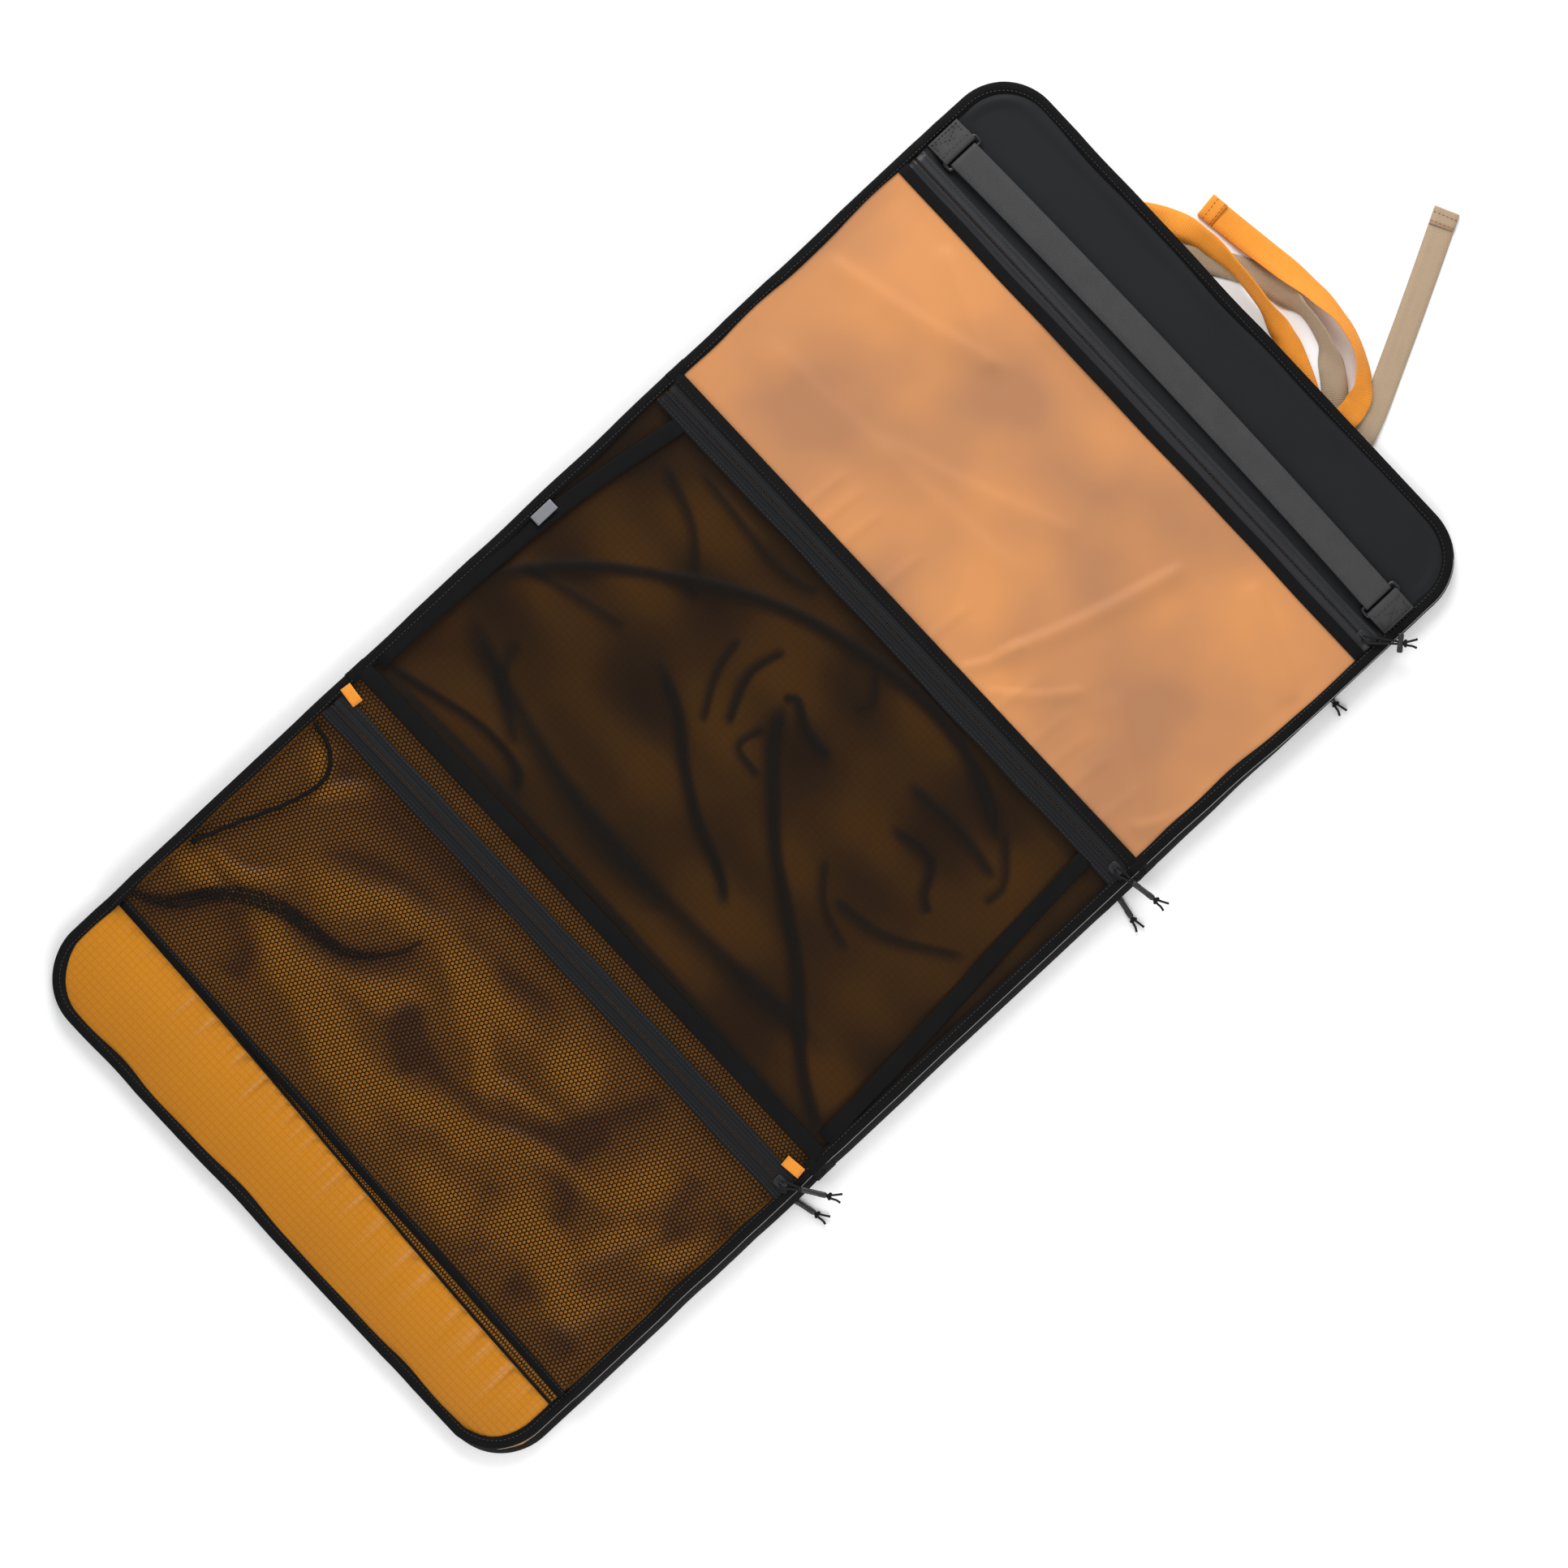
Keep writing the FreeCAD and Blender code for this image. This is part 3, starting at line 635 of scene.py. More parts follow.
def tricot_mesh(cover):
    """Fine black tricot: too fine to see its holes, so it is a dark veil that the lining shows through."""
    material, tree, shader = new_material("nylon_tricot_black")
    place = flat_place(tree)
    shader.inputs["Base Color"].default_value = (*linear("#0E0A07"), 1)
    shader.inputs["Roughness"].default_value = 0.72
    shader.inputs["Specular IOR Level"].default_value = 0.1
    knit = weave(tree, place, 1.4)
    veil = add_node(tree, "ShaderNodeMapRange", {
        "Value": knit, "From Min": 0.0, "From Max": 1.0, "To Min": cover - 0.06, "To Max": min(1, cover + 0.05),
    }).outputs["Result"]
    # The attribute read here makes the veil more opaque where a fold lies doubled, and darker as painted shade where
    # the mesh stands above the lining.
    folded = add_node(tree, "ShaderNodeAttribute", attribute_name="doubled").outputs["Fac"]
    veil = add_node(tree, "ShaderNodeMath", {0: veil, 1: folded}, operation="ADD", use_clamp=True).outputs[0]
    tree.links.new(veil, shader.inputs["Alpha"])
    bumped(tree, shader, knit, 0.15, 0.4)
    return material


def frosted_film():
    """Frosted polyurethane film: milky and satin, so that the lining glows through it without detail."""
    material, tree, shader = new_material("polyurethane_film_frosted")
    place = flat_place(tree)
    # Painted shade: soft random blotches that darken the film from its lit peach towards a greyer brown, standing for
    # the shade where it lifts off the lining.
    painted_shade_blotches = clouds(tree, place, 150, 2.5)
    painted_shade_blotches = add_node(tree, "ShaderNodeMapRange", {"Value": painted_shade_blotches, "From Min": 0.36, "From Max": 0.60}).outputs["Result"]
    colour = shade_between(tree, painted_shade_blotches, linear("#A87653"), linear("#CB8A54"))
    tree.links.new(colour, shader.inputs["Base Color"])
    shader.inputs["Roughness"].default_value = 0.62
    shader.inputs["Specular IOR Level"].default_value = 0.25
    shader.inputs["Alpha"].default_value = 0.9
    bumped(tree, shader, clouds(tree, place, 1.2, 1.0), 0.04, 0.35)
    return material


def coated_cloth():
    """Polyurethane-coated polyester: near black, satin, with the cloth's grain just showing."""
    material, tree, shader = new_material("polyurethane_coated_cloth_black")
    place = flat_place(tree)
    smudge = clouds(tree, place, 70, 4.0)
    tree.links.new(shade_between(tree, smudge, linear("#111215"), linear("#18191C")), shader.inputs["Base Color"])
    shader.inputs["Specular IOR Level"].default_value = 0.18
    rough = add_node(tree, "ShaderNodeMapRange", {"Value": smudge, "To Min": 0.58, "To Max": 0.72})
    tree.links.new(rough.outputs["Result"], shader.inputs["Roughness"])
    bumped(tree, shader, clouds(tree, place, 0.9, 2.0), 0.06, 0.4)
    return material


def laminated_tape():
    """Zip tape laminated with polyurethane: smooth and slightly shiny, with faint lengthways streaks."""
    material, tree, shader = new_material("polyurethane_laminated_zip_tape")
    place = cloth_place(tree)
    stretched = add_node(tree, "ShaderNodeMapping", {"Vector": place, "Scale": (0.12, 1.0, 1.0)}).outputs["Vector"]
    streak = clouds(tree, stretched, 3.0)
    tree.links.new(shade_between(tree, streak, linear("#101114"), linear("#1D1E22")), shader.inputs["Base Color"])
    shader.inputs["Specular IOR Level"].default_value = 0.35
    shader.inputs["Roughness"].default_value = 0.5
    bumped(tree, shader, streak, 0.08, 0.3)
    return material


def woven_tape():
    """Woven polyester zip tape: a fine herringbone that runs along the tape."""
    material, tree, shader = new_material("polyester_zip_tape_black")
    place = cloth_place(tree)
    slant = add_node(tree, "ShaderNodeMapping", {"Vector": place, "Rotation": (0, 0, 0.6)}).outputs["Vector"]
    twill = threads(tree, slant, 1.4, "X")
    lines = threads(tree, place, 3.0, "Y")
    tone = add_node(tree, "ShaderNodeMath", {0: twill, 1: 0.5, 2: lines}, operation="MULTIPLY_ADD").outputs[0]
    tree.links.new(shade_between(tree, tone, linear("#0A0A0B"), linear("#17181A")), shader.inputs["Base Color"])
    shader.inputs["Roughness"].default_value = 0.72
    shader.inputs["Specular IOR Level"].default_value = 0.15
    bumped(tree, shader, tone, 0.15, 0.4)
    return material


def webbing(name, low, high, stripe=None):
    """Woven nylon webbing: chunky ribs across it and a chain of warp threads along it."""
    material, tree, shader = new_material(name)
    place = cloth_place(tree)
    ribs = threads(tree, place, 1.7, "X")
    warps = threads(tree, place, 1.1, "Y")
    cloth = add_node(tree, "ShaderNodeMath", {0: ribs, 1: warps}, operation="MULTIPLY").outputs[0]
    tone = add_node(tree, "ShaderNodeMath", {0: clouds(tree, place, 18), 1: 0.5, 2: cloth},
                    operation="MULTIPLY_ADD").outputs[0]
    colour = shade_between(tree, tone, low, high)
    if stripe:
        band = threads(tree, place, 6.5, "Y", 2.5)
        mix = add_node(tree, "ShaderNodeMix", {"Factor": band}, data_type="RGBA")
        tree.links.new(colour, mix.inputs["A"])
        mix.inputs["B"].default_value = (*stripe, 1)
        colour = mix.outputs["Result"]
    tree.links.new(colour, shader.inputs["Base Color"])
    shader.inputs["Roughness"].default_value = 0.68
    shader.inputs["Specular IOR Level"].default_value = 0.25
    bumped(tree, shader, cloth, 0.35, 0.7)
    return material


def moulded_plastic(name, colour, roughness):
    """Injection-moulded acetal or elastomer: even, with the faint texture of its mould."""
    material, tree, shader = new_material(name)
    grain = clouds(tree, flat_place(tree), 0.6, 2.0)
    low = tuple(c * 0.8 for c in colour)
    tree.links.new(shade_between(tree, grain, low, colour), shader.inputs["Base Color"])
    shader.inputs["Roughness"].default_value = roughness
    shader.inputs["IOR"].default_value = 1.48
    bumped(tree, shader, grain, 0.03, 0.3)
    return material


def painted_zinc():
    """Die-cast zinc with black baked paint: smooth, half gloss, with softened edges."""
    material, tree, shader = new_material("zinc_die_cast_black_paint")
    chips = clouds(tree, flat_place(tree), 3.0)
    tree.links.new(shade_between(tree, chips, linear("#0D0D0E"), linear("#1A1A1C")), shader.inputs["Base Color"])
    shader.inputs["Roughness"].default_value = 0.33
    shader.inputs["Coat Weight"].default_value = 0.3
    bumped(tree, shader, chips, 0.03, 0.2)
    return material


def braided_cord():
    """Braided polyester cord: a diamond pattern of crossing strands."""
    material, tree, shader = new_material("polyester_braided_cord_black")
    place = cloth_place(tree)
    one = add_node(tree, "ShaderNodeMapping", {"Vector": place, "Rotation": (0, 0, 0.7)}).outputs["Vector"]
    other = add_node(tree, "ShaderNodeMapping", {"Vector": place, "Rotation": (0, 0, -0.7)}).outputs["Vector"]
    braid = add_node(tree, "ShaderNodeMath", {0: threads(tree, one, 0.8), 1: threads(tree, other, 0.8)},
                     operation="MAXIMUM").outputs[0]
    tree.links.new(shade_between(tree, braid, linear("#050505"), linear("#171718")), shader.inputs["Base Color"])
    shader.inputs["Roughness"].default_value = 0.75
    shader.inputs["Specular IOR Level"].default_value = 0.2
    bumped(tree, shader, braid, 0.15, 0.6)
    return material


def sewing_thread(name, colour):
    """Bonded polyester thread: round, with a slight shine and a twist along it."""
    material, tree, shader = new_material(name)
    twist = clouds(tree, flat_place(tree), 0.7, 1.0)
    low = tuple(c * 0.7 for c in colour)
    tree.links.new(shade_between(tree, twist, low, colour), shader.inputs["Base Color"])
    shader.inputs["Roughness"].default_value = 0.5
    return material


def damask_label():
    """Woven damask label, grey and blank: satin, with very fine rows."""
    material, tree, shader = new_material("polyester_damask_grey")
    rows = threads(tree, flat_place(tree), 0.9, "Y")
    tree.links.new(shade_between(tree, rows, linear("#5E5F63"), linear("#808186")), shader.inputs["Base Color"])
    shader.inputs["Roughness"].default_value = 0.55
    bumped(tree, shader, rows, 0.08, 0.4)
    return material


def studio_paper():
    """A seamless paper floor: pale, flat and matt."""
    material, tree, shader = new_material("seamless_paper_white")
    fibre = clouds(tree, flat_place(tree), 6.0)
    tree.links.new(shade_between(tree, fibre, linear("#F2F2F2"), linear("#F6F6F6")), shader.inputs["Base Color"])
    shader.inputs["Roughness"].default_value = 0.95
    return material


# ---------------------------------------------------------------- the panels' outlines and heights

def half_width_at(y, inset, rounded_low, rounded_high):
    """Half the width of a panel's sheet at a place along it, with its rounded end."""
    radius = CORNER - inset
    half = HALF - inset
    for is_rounded, end in ((rounded_low, y - (BOTTOM + inset)), (rounded_high, TOP - inset - y)):
        if is_rounded and end < radius:
            return half - radius + math.sqrt(max(0.0, radius * radius - (radius - end) ** 2))
    return half


def stations(low, high, step, fine_low=False, fine_high=False):
    """Places from low to high, closer together at a rounded end."""
    count = max(2, round((high - low) / step))
    t = np.linspace(0, 1, count + 1)
    places = low + (high - low) * t
    extra = CORNER * (1 - np.cos(np.linspace(0, math.pi / 2, 12)))
    if fine_low:
        places = np.concatenate([low + extra, places[places > low + CORNER + step / 3]])
    if fine_high:
        places = np.concatenate([places[places < high - CORNER - step / 3], (high - extra)[::-1]])
    return places


def panel_rows(low, high, inset, height, step=6 * MM, across=80, rounded_low=False, rounded_high=False):
    """Rows of points for a sheet that fills a panel's outline, at the height of a function of x and y."""
    rows = []
    for y in stations(low, high, step, rounded_low, rounded_high):
        half = half_width_at(y, inset, rounded_low, rounded_high)
        x = np.linspace(-half, half, across + 1)
        z = height(x, np.full_like(x, y))
        rows.append(np.stack([x, np.full_like(x, y), np.broadcast_to(z, x.shape)], -1))
    return rows


def underside(y, zip_y, level):
    """Height of a back sheet's underside: on the floor, up a ramp and level over its zip."""
    start = zip_y - TAPE_HALF - RAMP
    return level * smooth((y - start) / RAMP)


PANELS = {
    "lower_panel": {"low": BOTTOM, "high": FOLD_LOW, "zip": "low_back", "sheet": "lower_back_sheet"},
    "middle_panel": {"low": FOLD_LOW, "high": FOLD_UP, "zip": "mid_back", "sheet": "middle_back_sheet"},
    "upper_panel": {"low": FOLD_UP, "high": TOP, "zip": "up_back", "sheet": "upper_back_sheet"},
}


def edge_path(panel, step=4 * MM):
    """Each edge that a panel's binding follows: (points, outward directions) in plan."""
    info = PANELS[panel]
    if panel == "middle_panel":
        ys = np.linspace(info["low"], info["high"], 84)
        right = ([(HALF, y) for y in ys], [(1, 0)] * len(ys))
        left = ([(-HALF, y) for y in ys], [(-1, 0)] * len(ys))
        return [right, left]
    is_top = panel == "upper_panel"
    end = TOP if is_top else BOTTOM
    turn = 1 if is_top else -1
    fold = info["low"] if is_top else info["high"]
    centre_y = end - turn * CORNER
    points, outward = [], []
    for y in np.linspace(fold, centre_y, int(abs(centre_y - fold) / step)):
        points.append((HALF, y))
        outward.append((1, 0))
    for a in np.linspace(0, math.pi / 2, 22)[1:]:
        points.append((HALF - CORNER + CORNER * math.cos(a), centre_y + turn * CORNER * math.sin(a)))
        outward.append((math.cos(a), turn * math.sin(a)))
    for x in np.linspace(HALF - CORNER, 0, 54)[1:]:
        points.append((x, end))
        outward.append((0, turn))
    mirrored = [(-x, y) for x, y in points[-2::-1]]
    outward += [(-nx, ny) for nx, ny in outward[-2::-1]]
    return [(points + mirrored, outward)]


def rim_height(panel, y):
    """Height of the top of a panel's edge: over the pockets, and lower at the two ends."""
    if panel == "lower_panel":
        return 9.9 * MM + 5.0 * MM * float(smooth((y - HEM + 3 * MM) / (9 * MM)))
    if panel == "upper_panel":
        return 14.9 * MM - 4.2 * MM * float(smooth((y - HEAD_START) / (12 * MM)))
    return 14.9 * MM


def rim_floor(panel, y):
    """Height of the bottom of a panel's edge."""
    return 0.15 * MM + float(underside(y, ZIP_Y[PANELS[panel]["zip"]], TUNNEL))


LEAN = 6 * MM                                # the pockets' right edges lie this far inside the back's edge
LAP = 9 * MM


def lean_at(panel, x, y):
    """How far the front edge leans in over the back edge: only on the right, and not at the ends."""
    amount = LEAN if x > 0 else 0.6 * MM
    if panel == "upper_panel":
        amount *= 1 - 0.75 * float(smooth((y - FOLD_UP) / 0.20))
    return amount


# ---------------------------------------------------------------- Geometry Nodes trees

def node_group(name, sockets):
    """A geometry tree with its named inputs: (name, socket type, default)."""
    tree = bpy.data.node_groups.new(name, "GeometryNodeTree")
    tree.interface.new_socket("Geometry", in_out="INPUT", socket_type="NodeSocketGeometry")
    for label, kind, default in sockets:
        socket = tree.interface.new_socket(label, in_out="INPUT", socket_type=kind)
        if default is not None:
            socket.default_value = default
    tree.interface.new_socket("Geometry", in_out="OUTPUT", socket_type="NodeSocketGeometry")
    return tree, tree.nodes.new("NodeGroupInput"), tree.nodes.new("NodeGroupOutput")


def net_tree():
    """Turns a lattice of triangles into a net: its dual is hexagons, and each one's middle is cut out."""
    tree, given, result = node_group("hexagonal_net", [
        ("Hole Share", "NodeSocketFloat", 0.7), ("Material", "NodeSocketMaterial", None)])
    cells = add_node(tree, "GeometryNodeDualMesh", {"Mesh": given.outputs["Geometry"]})
    inner = add_node(tree, "GeometryNodeExtrudeMesh", {
        "Mesh": cells.outputs[0], "Offset Scale": 0.0, "Individual": True}, mode="FACES")
    shrunk = add_node(tree, "GeometryNodeScaleElements", {
        "Geometry": inner.outputs["Mesh"], "Selection": inner.outputs["Top"],
        "Scale": given.outputs["Hole Share"]}, domain="FACE")
    holes = add_node(tree, "GeometryNodeDeleteGeometry", {
        "Geometry": shrunk.outputs[0], "Selection": inner.outputs["Top"]}, domain="FACE")
    whole = add_node(tree, "GeometryNodeRealizeInstances", {"Geometry": holes.outputs[0]})
    made = add_node(tree, "GeometryNodeSetMaterial", {
        "Geometry": whole.outputs[0], "Material": given.outputs["Material"]})
    tree.links.new(made.outputs[0], result.inputs[0])
    return tree


def stitch_tree():
    """Lays short rounded stitches along edges, evenly spaced, each turned to follow its seam."""
    tree, given, result = node_group("stitch_run", [
        ("Pitch", "NodeSocketFloat", 0.003), ("Length", "NodeSocketFloat", 0.0021),
        ("Thread", "NodeSocketFloat", 0.0004), ("Material", "NodeSocketMaterial", None)])
    line = add_node(tree, "GeometryNodeMeshToCurve", {"Mesh": given.outputs["Geometry"]})
    spaced = add_node(tree, "GeometryNodeResampleCurve", {
        "Curve": line.outputs[0], "Length": given.outputs["Pitch"]}, mode="LENGTH")
    stitch = add_node(tree, "GeometryNodeMeshUVSphere", {"Segments": 6, "Rings": 4, "Radius": 1.0})
    size = add_node(tree, "ShaderNodeCombineXYZ", {
        "X": given.outputs["Thread"], "Y": given.outputs["Thread"],
        "Z": add_node(tree, "ShaderNodeMath", {0: given.outputs["Length"], 1: 0.5}, operation="MULTIPLY").outputs[0]})
    shaped = add_node(tree, "GeometryNodeTransform", {"Geometry": stitch.outputs["Mesh"], "Scale": size.outputs[0]})
    facing = add_node(tree, "FunctionNodeAlignRotationToVector", {
        "Vector": add_node(tree, "GeometryNodeInputTangent").outputs[0]}, axis="Z")
    placed = add_node(tree, "GeometryNodeInstanceOnPoints", {
        "Points": spaced.outputs[0], "Instance": shaped.outputs[0], "Rotation": facing.outputs[0]})
    whole = add_node(tree, "GeometryNodeRealizeInstances", {"Geometry": placed.outputs[0]})
    made = add_node(tree, "GeometryNodeSetMaterial", {
        "Geometry": whole.outputs[0], "Material": given.outputs["Material"]})
    tree.links.new(made.outputs[0], result.inputs[0])
    return tree


def grow(piece, tree, **values):
    """Runs a geometry tree on a piece and keeps the result as its mesh."""
    modifier = piece.modifiers.new(tree.name, "NODES")
    modifier.node_group = tree
    for item in tree.interface.items_tree:
        if item.item_type == "SOCKET" and item.in_out == "INPUT" and item.name in values:
            modifier[item.identifier] = values[item.name]
    bake(piece)
    return piece


def stitch_lines(name, runs, material, sizes):
    """Stitches along several runs of points, as one piece."""
    points, edges = [], []
    for run in runs:
        first = len(points)
        points += [tuple(p) for p in run]
        edges += [(k, k + 1) for k in range(first, len(points) - 1)]
    mesh = bpy.data.meshes.new(name)
    mesh.from_pydata(points, edges, [])
    mesh.materials.append(material)
    piece = bpy.data.objects.new(name, mesh)
    bpy.context.scene.collection.objects.link(piece)
    grow(piece, stitch_tree(), Pitch=sizes.stitch_pitch, Length=sizes.stitch_pitch * 0.7,
         Thread=sizes.thread / 2, Material=material)
    piece.data.polygons.foreach_set("use_smooth", [True] * len(piece.data.polygons))
    return piece


# ---------------------------------------------------------------- cloth with slack in it

def drape(name, rows, slack, floor, ceiling, material, frames=26):
    """Cloth sewn down round its edge with slack inside it, which falls on the lining below it."""
    rows = np.asarray(rows)
    piece = sheet_piece(name, rows, material)
    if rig.quick():
        return piece
    nv, nu = np.asarray(rows).shape[:2]
    at = np.arange(nv * nu).reshape(nv, nu)
    sewn = np.unique(np.concatenate([at[0], at[-1], at[:, 0], at[:, -1]])).tolist()
    piece.vertex_groups.new(name="sewn").add(sewn, 1.0, "REPLACE")
    below = rows.copy()
    below[..., 2] = floor(rows[..., 0], rows[..., 1]) - 0.4 * MM
    rest = sheet_piece("rest", below, material)
    modify(rest, "COLLISION")
    rest.collision.thickness_outer = 0.001
    cloth = piece.modifiers.new("Cloth", "CLOTH")
    cloth.settings.vertex_group_mass = "sewn"
    cloth.settings.shrink_min = -slack
    cloth.settings.quality = 6
    cloth.settings.mass = 0.05
    cloth.settings.tension_stiffness = 12
    cloth.settings.compression_stiffness = 12
    cloth.settings.bending_stiffness = 0.03
    cloth.settings.air_damping = 2
    cloth.collision_settings.distance_min = 0.001
    scene = bpy.context.scene
    scene.frame_start = 1
    scene.frame_end = frames + 1
    cloth.point_cache.frame_start = 1
    cloth.point_cache.frame_end = frames + 1
    for number in range(1, frames + 1):
        scene.frame_set(number)
    bake(piece)
    bpy.data.objects.remove(rest)
    scene.frame_set(1)
    cloth_points = np.zeros(len(piece.data.vertices) * 3)
    piece.data.vertices.foreach_get("co", cloth_points)
    cloth_points = cloth_points.reshape(-1, 3)
    lowest = floor(cloth_points[:, 0], cloth_points[:, 1])
    cloth_points[:, 2] = np.clip(cloth_points[:, 2], lowest, np.maximum(lowest, ceiling))
    piece.data.vertices.foreach_set("co", cloth_points.ravel())
    piece.data.update()
    return piece


def points_of(piece, rows):
    """A draped piece's points, in the same rows that it was made from."""
    flat = np.zeros(len(piece.data.vertices) * 3)
    piece.data.vertices.foreach_get("co", flat)
    return flat.reshape(np.asarray(rows).shape)


def lattice_on(name, surface, pitch, material):
    """A lattice of equal triangles laid on a surface of rows of points."""
    surface = np.asarray(surface, float)
    nv, nu = surface.shape[:2]
    width = np.linalg.norm(surface[nv // 2, -1, :2] - surface[nv // 2, 0, :2])
    length = np.linalg.norm(surface[-1, nu // 2, :2] - surface[0, nu // 2, :2])
    row_step = pitch * math.sqrt(3) / 2
    rows_count = max(3, round(length / row_step))
    per_row = max(3, round(width / pitch))
    points, faces = [], []
    for r in range(rows_count + 1):
        v = r / rows_count
        shift = 0.5 if r % 2 else 0.0
        for c in range(per_row + 1):
            u = min(1.0, max(0.0, (c + shift) / (per_row + 0.5)))
            gv, gu = v * (nv - 1), u * (nu - 1)
            i, j = min(int(gv), nv - 2), min(int(gu), nu - 2)
            fv, fu = gv - i, gu - j
            low = surface[i, j] * (1 - fu) + surface[i, j + 1] * fu
            high = surface[i + 1, j] * (1 - fu) + surface[i + 1, j + 1] * fu
            points.append(low * (1 - fv) + high * fv)
    for r in range(rows_count):
        for c in range(per_row):
            a, b = r * (per_row + 1) + c, r * (per_row + 1) + c + 1
            d, e = a + per_row + 1, b + per_row + 1
            faces += [(a, b, e), (a, e, d)] if r % 2 else [(a, b, d), (b, e, d)]
    return make_mesh(name, points, faces, material, smooth_faces=False)


# ---------------------------------------------------------------- what a user would change

class OrganiserSizes(bpy.types.PropertyGroup):
    """Sizes of the cloths, seams and cords."""
    net_pitch: bpy.props.FloatProperty(
        name="Net pitch", description="Distance between the coarse net's holes",
        default=3.3 * MM, min=1 * MM, unit="LENGTH")
    hole_share: bpy.props.FloatProperty(
        name="Hole share", description="Width of a hole as a share of the pitch",
        default=0.68, min=0.2, max=0.95, subtype="FACTOR")
    net_slack: bpy.props.FloatProperty(
        name="Net slack", description="How much longer the coarse net is than its frame",
        default=0.012, min=0.0, max=0.2, subtype="FACTOR")
    tricot_cover: bpy.props.FloatProperty(
        name="Tricot cover", description="How much of the lining the fine mesh hides",
        default=0.765, min=0.0, max=1.0, subtype="FACTOR")
    stitch_pitch: bpy.props.FloatProperty(
        name="Stitch pitch", description="Distance from stitch to stitch",
        default=3.2 * MM, min=1 * MM, unit="LENGTH")
    thread: bpy.props.FloatProperty(
        name="Thread", description="Thickness of the sewing thread",
        default=0.7 * MM, min=0.1 * MM, unit="LENGTH")
    cord: bpy.props.FloatProperty(
        name="Cord", description="Diameter of the pull cords",
        default=1.7 * MM, min=0.5 * MM, unit="LENGTH")


def colour_property(name, description, hex_colour):
    return bpy.props.FloatVectorProperty(
        name=name, description=description, subtype="COLOR", size=3, min=0, max=1,
        default=linear(hex_colour))


class OrganiserColours(bpy.types.PropertyGroup):
    """Colours of the cloths that aren't black."""
    ripstop: colour_property("Ripstop", "The lining's colour", "#C07A0C")
    orange: colour_property("Orange strap", "The orange tie strap and the zip's end tabs", "#E8912E")
    tan: colour_property("Tan strap", "The tan tie strap", "#B09A80")
    webbing: colour_property("Webbing", "The handle and its tabs", "#3C3C3D")


def sizes():
    return bpy.context.scene.organiser_sizes


def colours():
    return bpy.context.scene.organiser_colours


def scaled(colour, share):
    return tuple(min(1.0, c * share) for c in colour)


FINISH_MAKERS = {
    "shell": shell_polyester,
    "ripstop": lambda: ripstop_nylon(tuple(colours().ripstop)),
    "binding": grosgrain_binding,
    "net": knitted_net,
    "tricot": lambda: tricot_mesh(sizes().tricot_cover),
    "film": frosted_film,
    "coated": coated_cloth,
    "laminated": laminated_tape,
    "zip_tape": woven_tape,
    "webbing": lambda: webbing("nylon_webbing_dark_grey", scaled(colours().webbing, 0.55), scaled(colours().webbing, 1.15)),
    "orange_webbing": lambda: webbing(
        "nylon_webbing_orange", scaled(colours().orange, 0.72), scaled(colours().orange, 1.1)),
    "tan_webbing": lambda: webbing(
        "nylon_webbing_tan", scaled(colours().tan, 0.66), scaled(colours().tan, 0.98), linear("#A48E74")),
    "ring": lambda: moulded_plastic("acetal_moulded_black", linear("#151516"), 0.36),
    "sleeve": lambda: moulded_plastic("elastomer_moulded_black", linear("#1B1B1D"), 0.5),
    "slider": painted_zinc,
    "cord": braided_cord,
    "black_thread": lambda: sewing_thread("polyester_thread_black", linear("#1A1A1B")),
    "rust_thread": lambda: sewing_thread("polyester_thread_rust", linear("#A8501A")),
    "pale_thread": lambda: sewing_thread("polyester_thread_pale_grey", linear("#8E8E8A")),
    "label": damask_label,
    "paper": studio_paper,
}
FINISHES = {}


def finish(name):
    """A material, made once."""
    if name not in FINISHES:
        FINISHES[name] = FINISH_MAKERS[name]()
    return FINISHES[name]


# ---------------------------------------------------------------- ribbons

def ribbon_sections(path, across, width, thickness):
    """Flat rounded sections along a path, for webbing, tapes and straps."""
    path = [Vector(p) for p in path]
    w, t = width / 2, thickness / 2
    outline = [(-w, 0), (-w + t, -t), (-w * 0.5, -t), (0, -t), (w * 0.5, -t), (w - t, -t),
               (w, 0), (w - t, t), (w * 0.5, t), (0, t), (-w * 0.5, t), (-w + t, t)]
    sections = []
    for i, p in enumerate(path):
        along = (path[min(i + 1, len(path) - 1)] - path[max(i - 1, 0)]).normalized()
        flat = Vector(across[i])
        flat = (flat - along * flat.dot(along)).normalized()
        up = along.cross(flat)
        sections.append([p + flat * a + up * b for a, b in outline])
    return sections


def ribbon(name, path, across, width, thickness, material):
    if isinstance(across, Vector):
        across = [across] * len(path)
    return sweep(name, ribbon_sections(path, across, width, thickness), material)


def arc(cx, cz, radius, start, end, count=10):
    """Points (x, z) on an arc, with its angles in degrees."""
    return [(cx + radius * math.cos(math.radians(a)), cz + radius * math.sin(math.radians(a)))
            for a in np.linspace(start, end, count)]


# ---------------------------------------------------------------- backs and linings

BACK_SHEET = 0.8 * MM
SLOT_HALF = 5.5 * MM
SPINE_HALF = 12 * MM


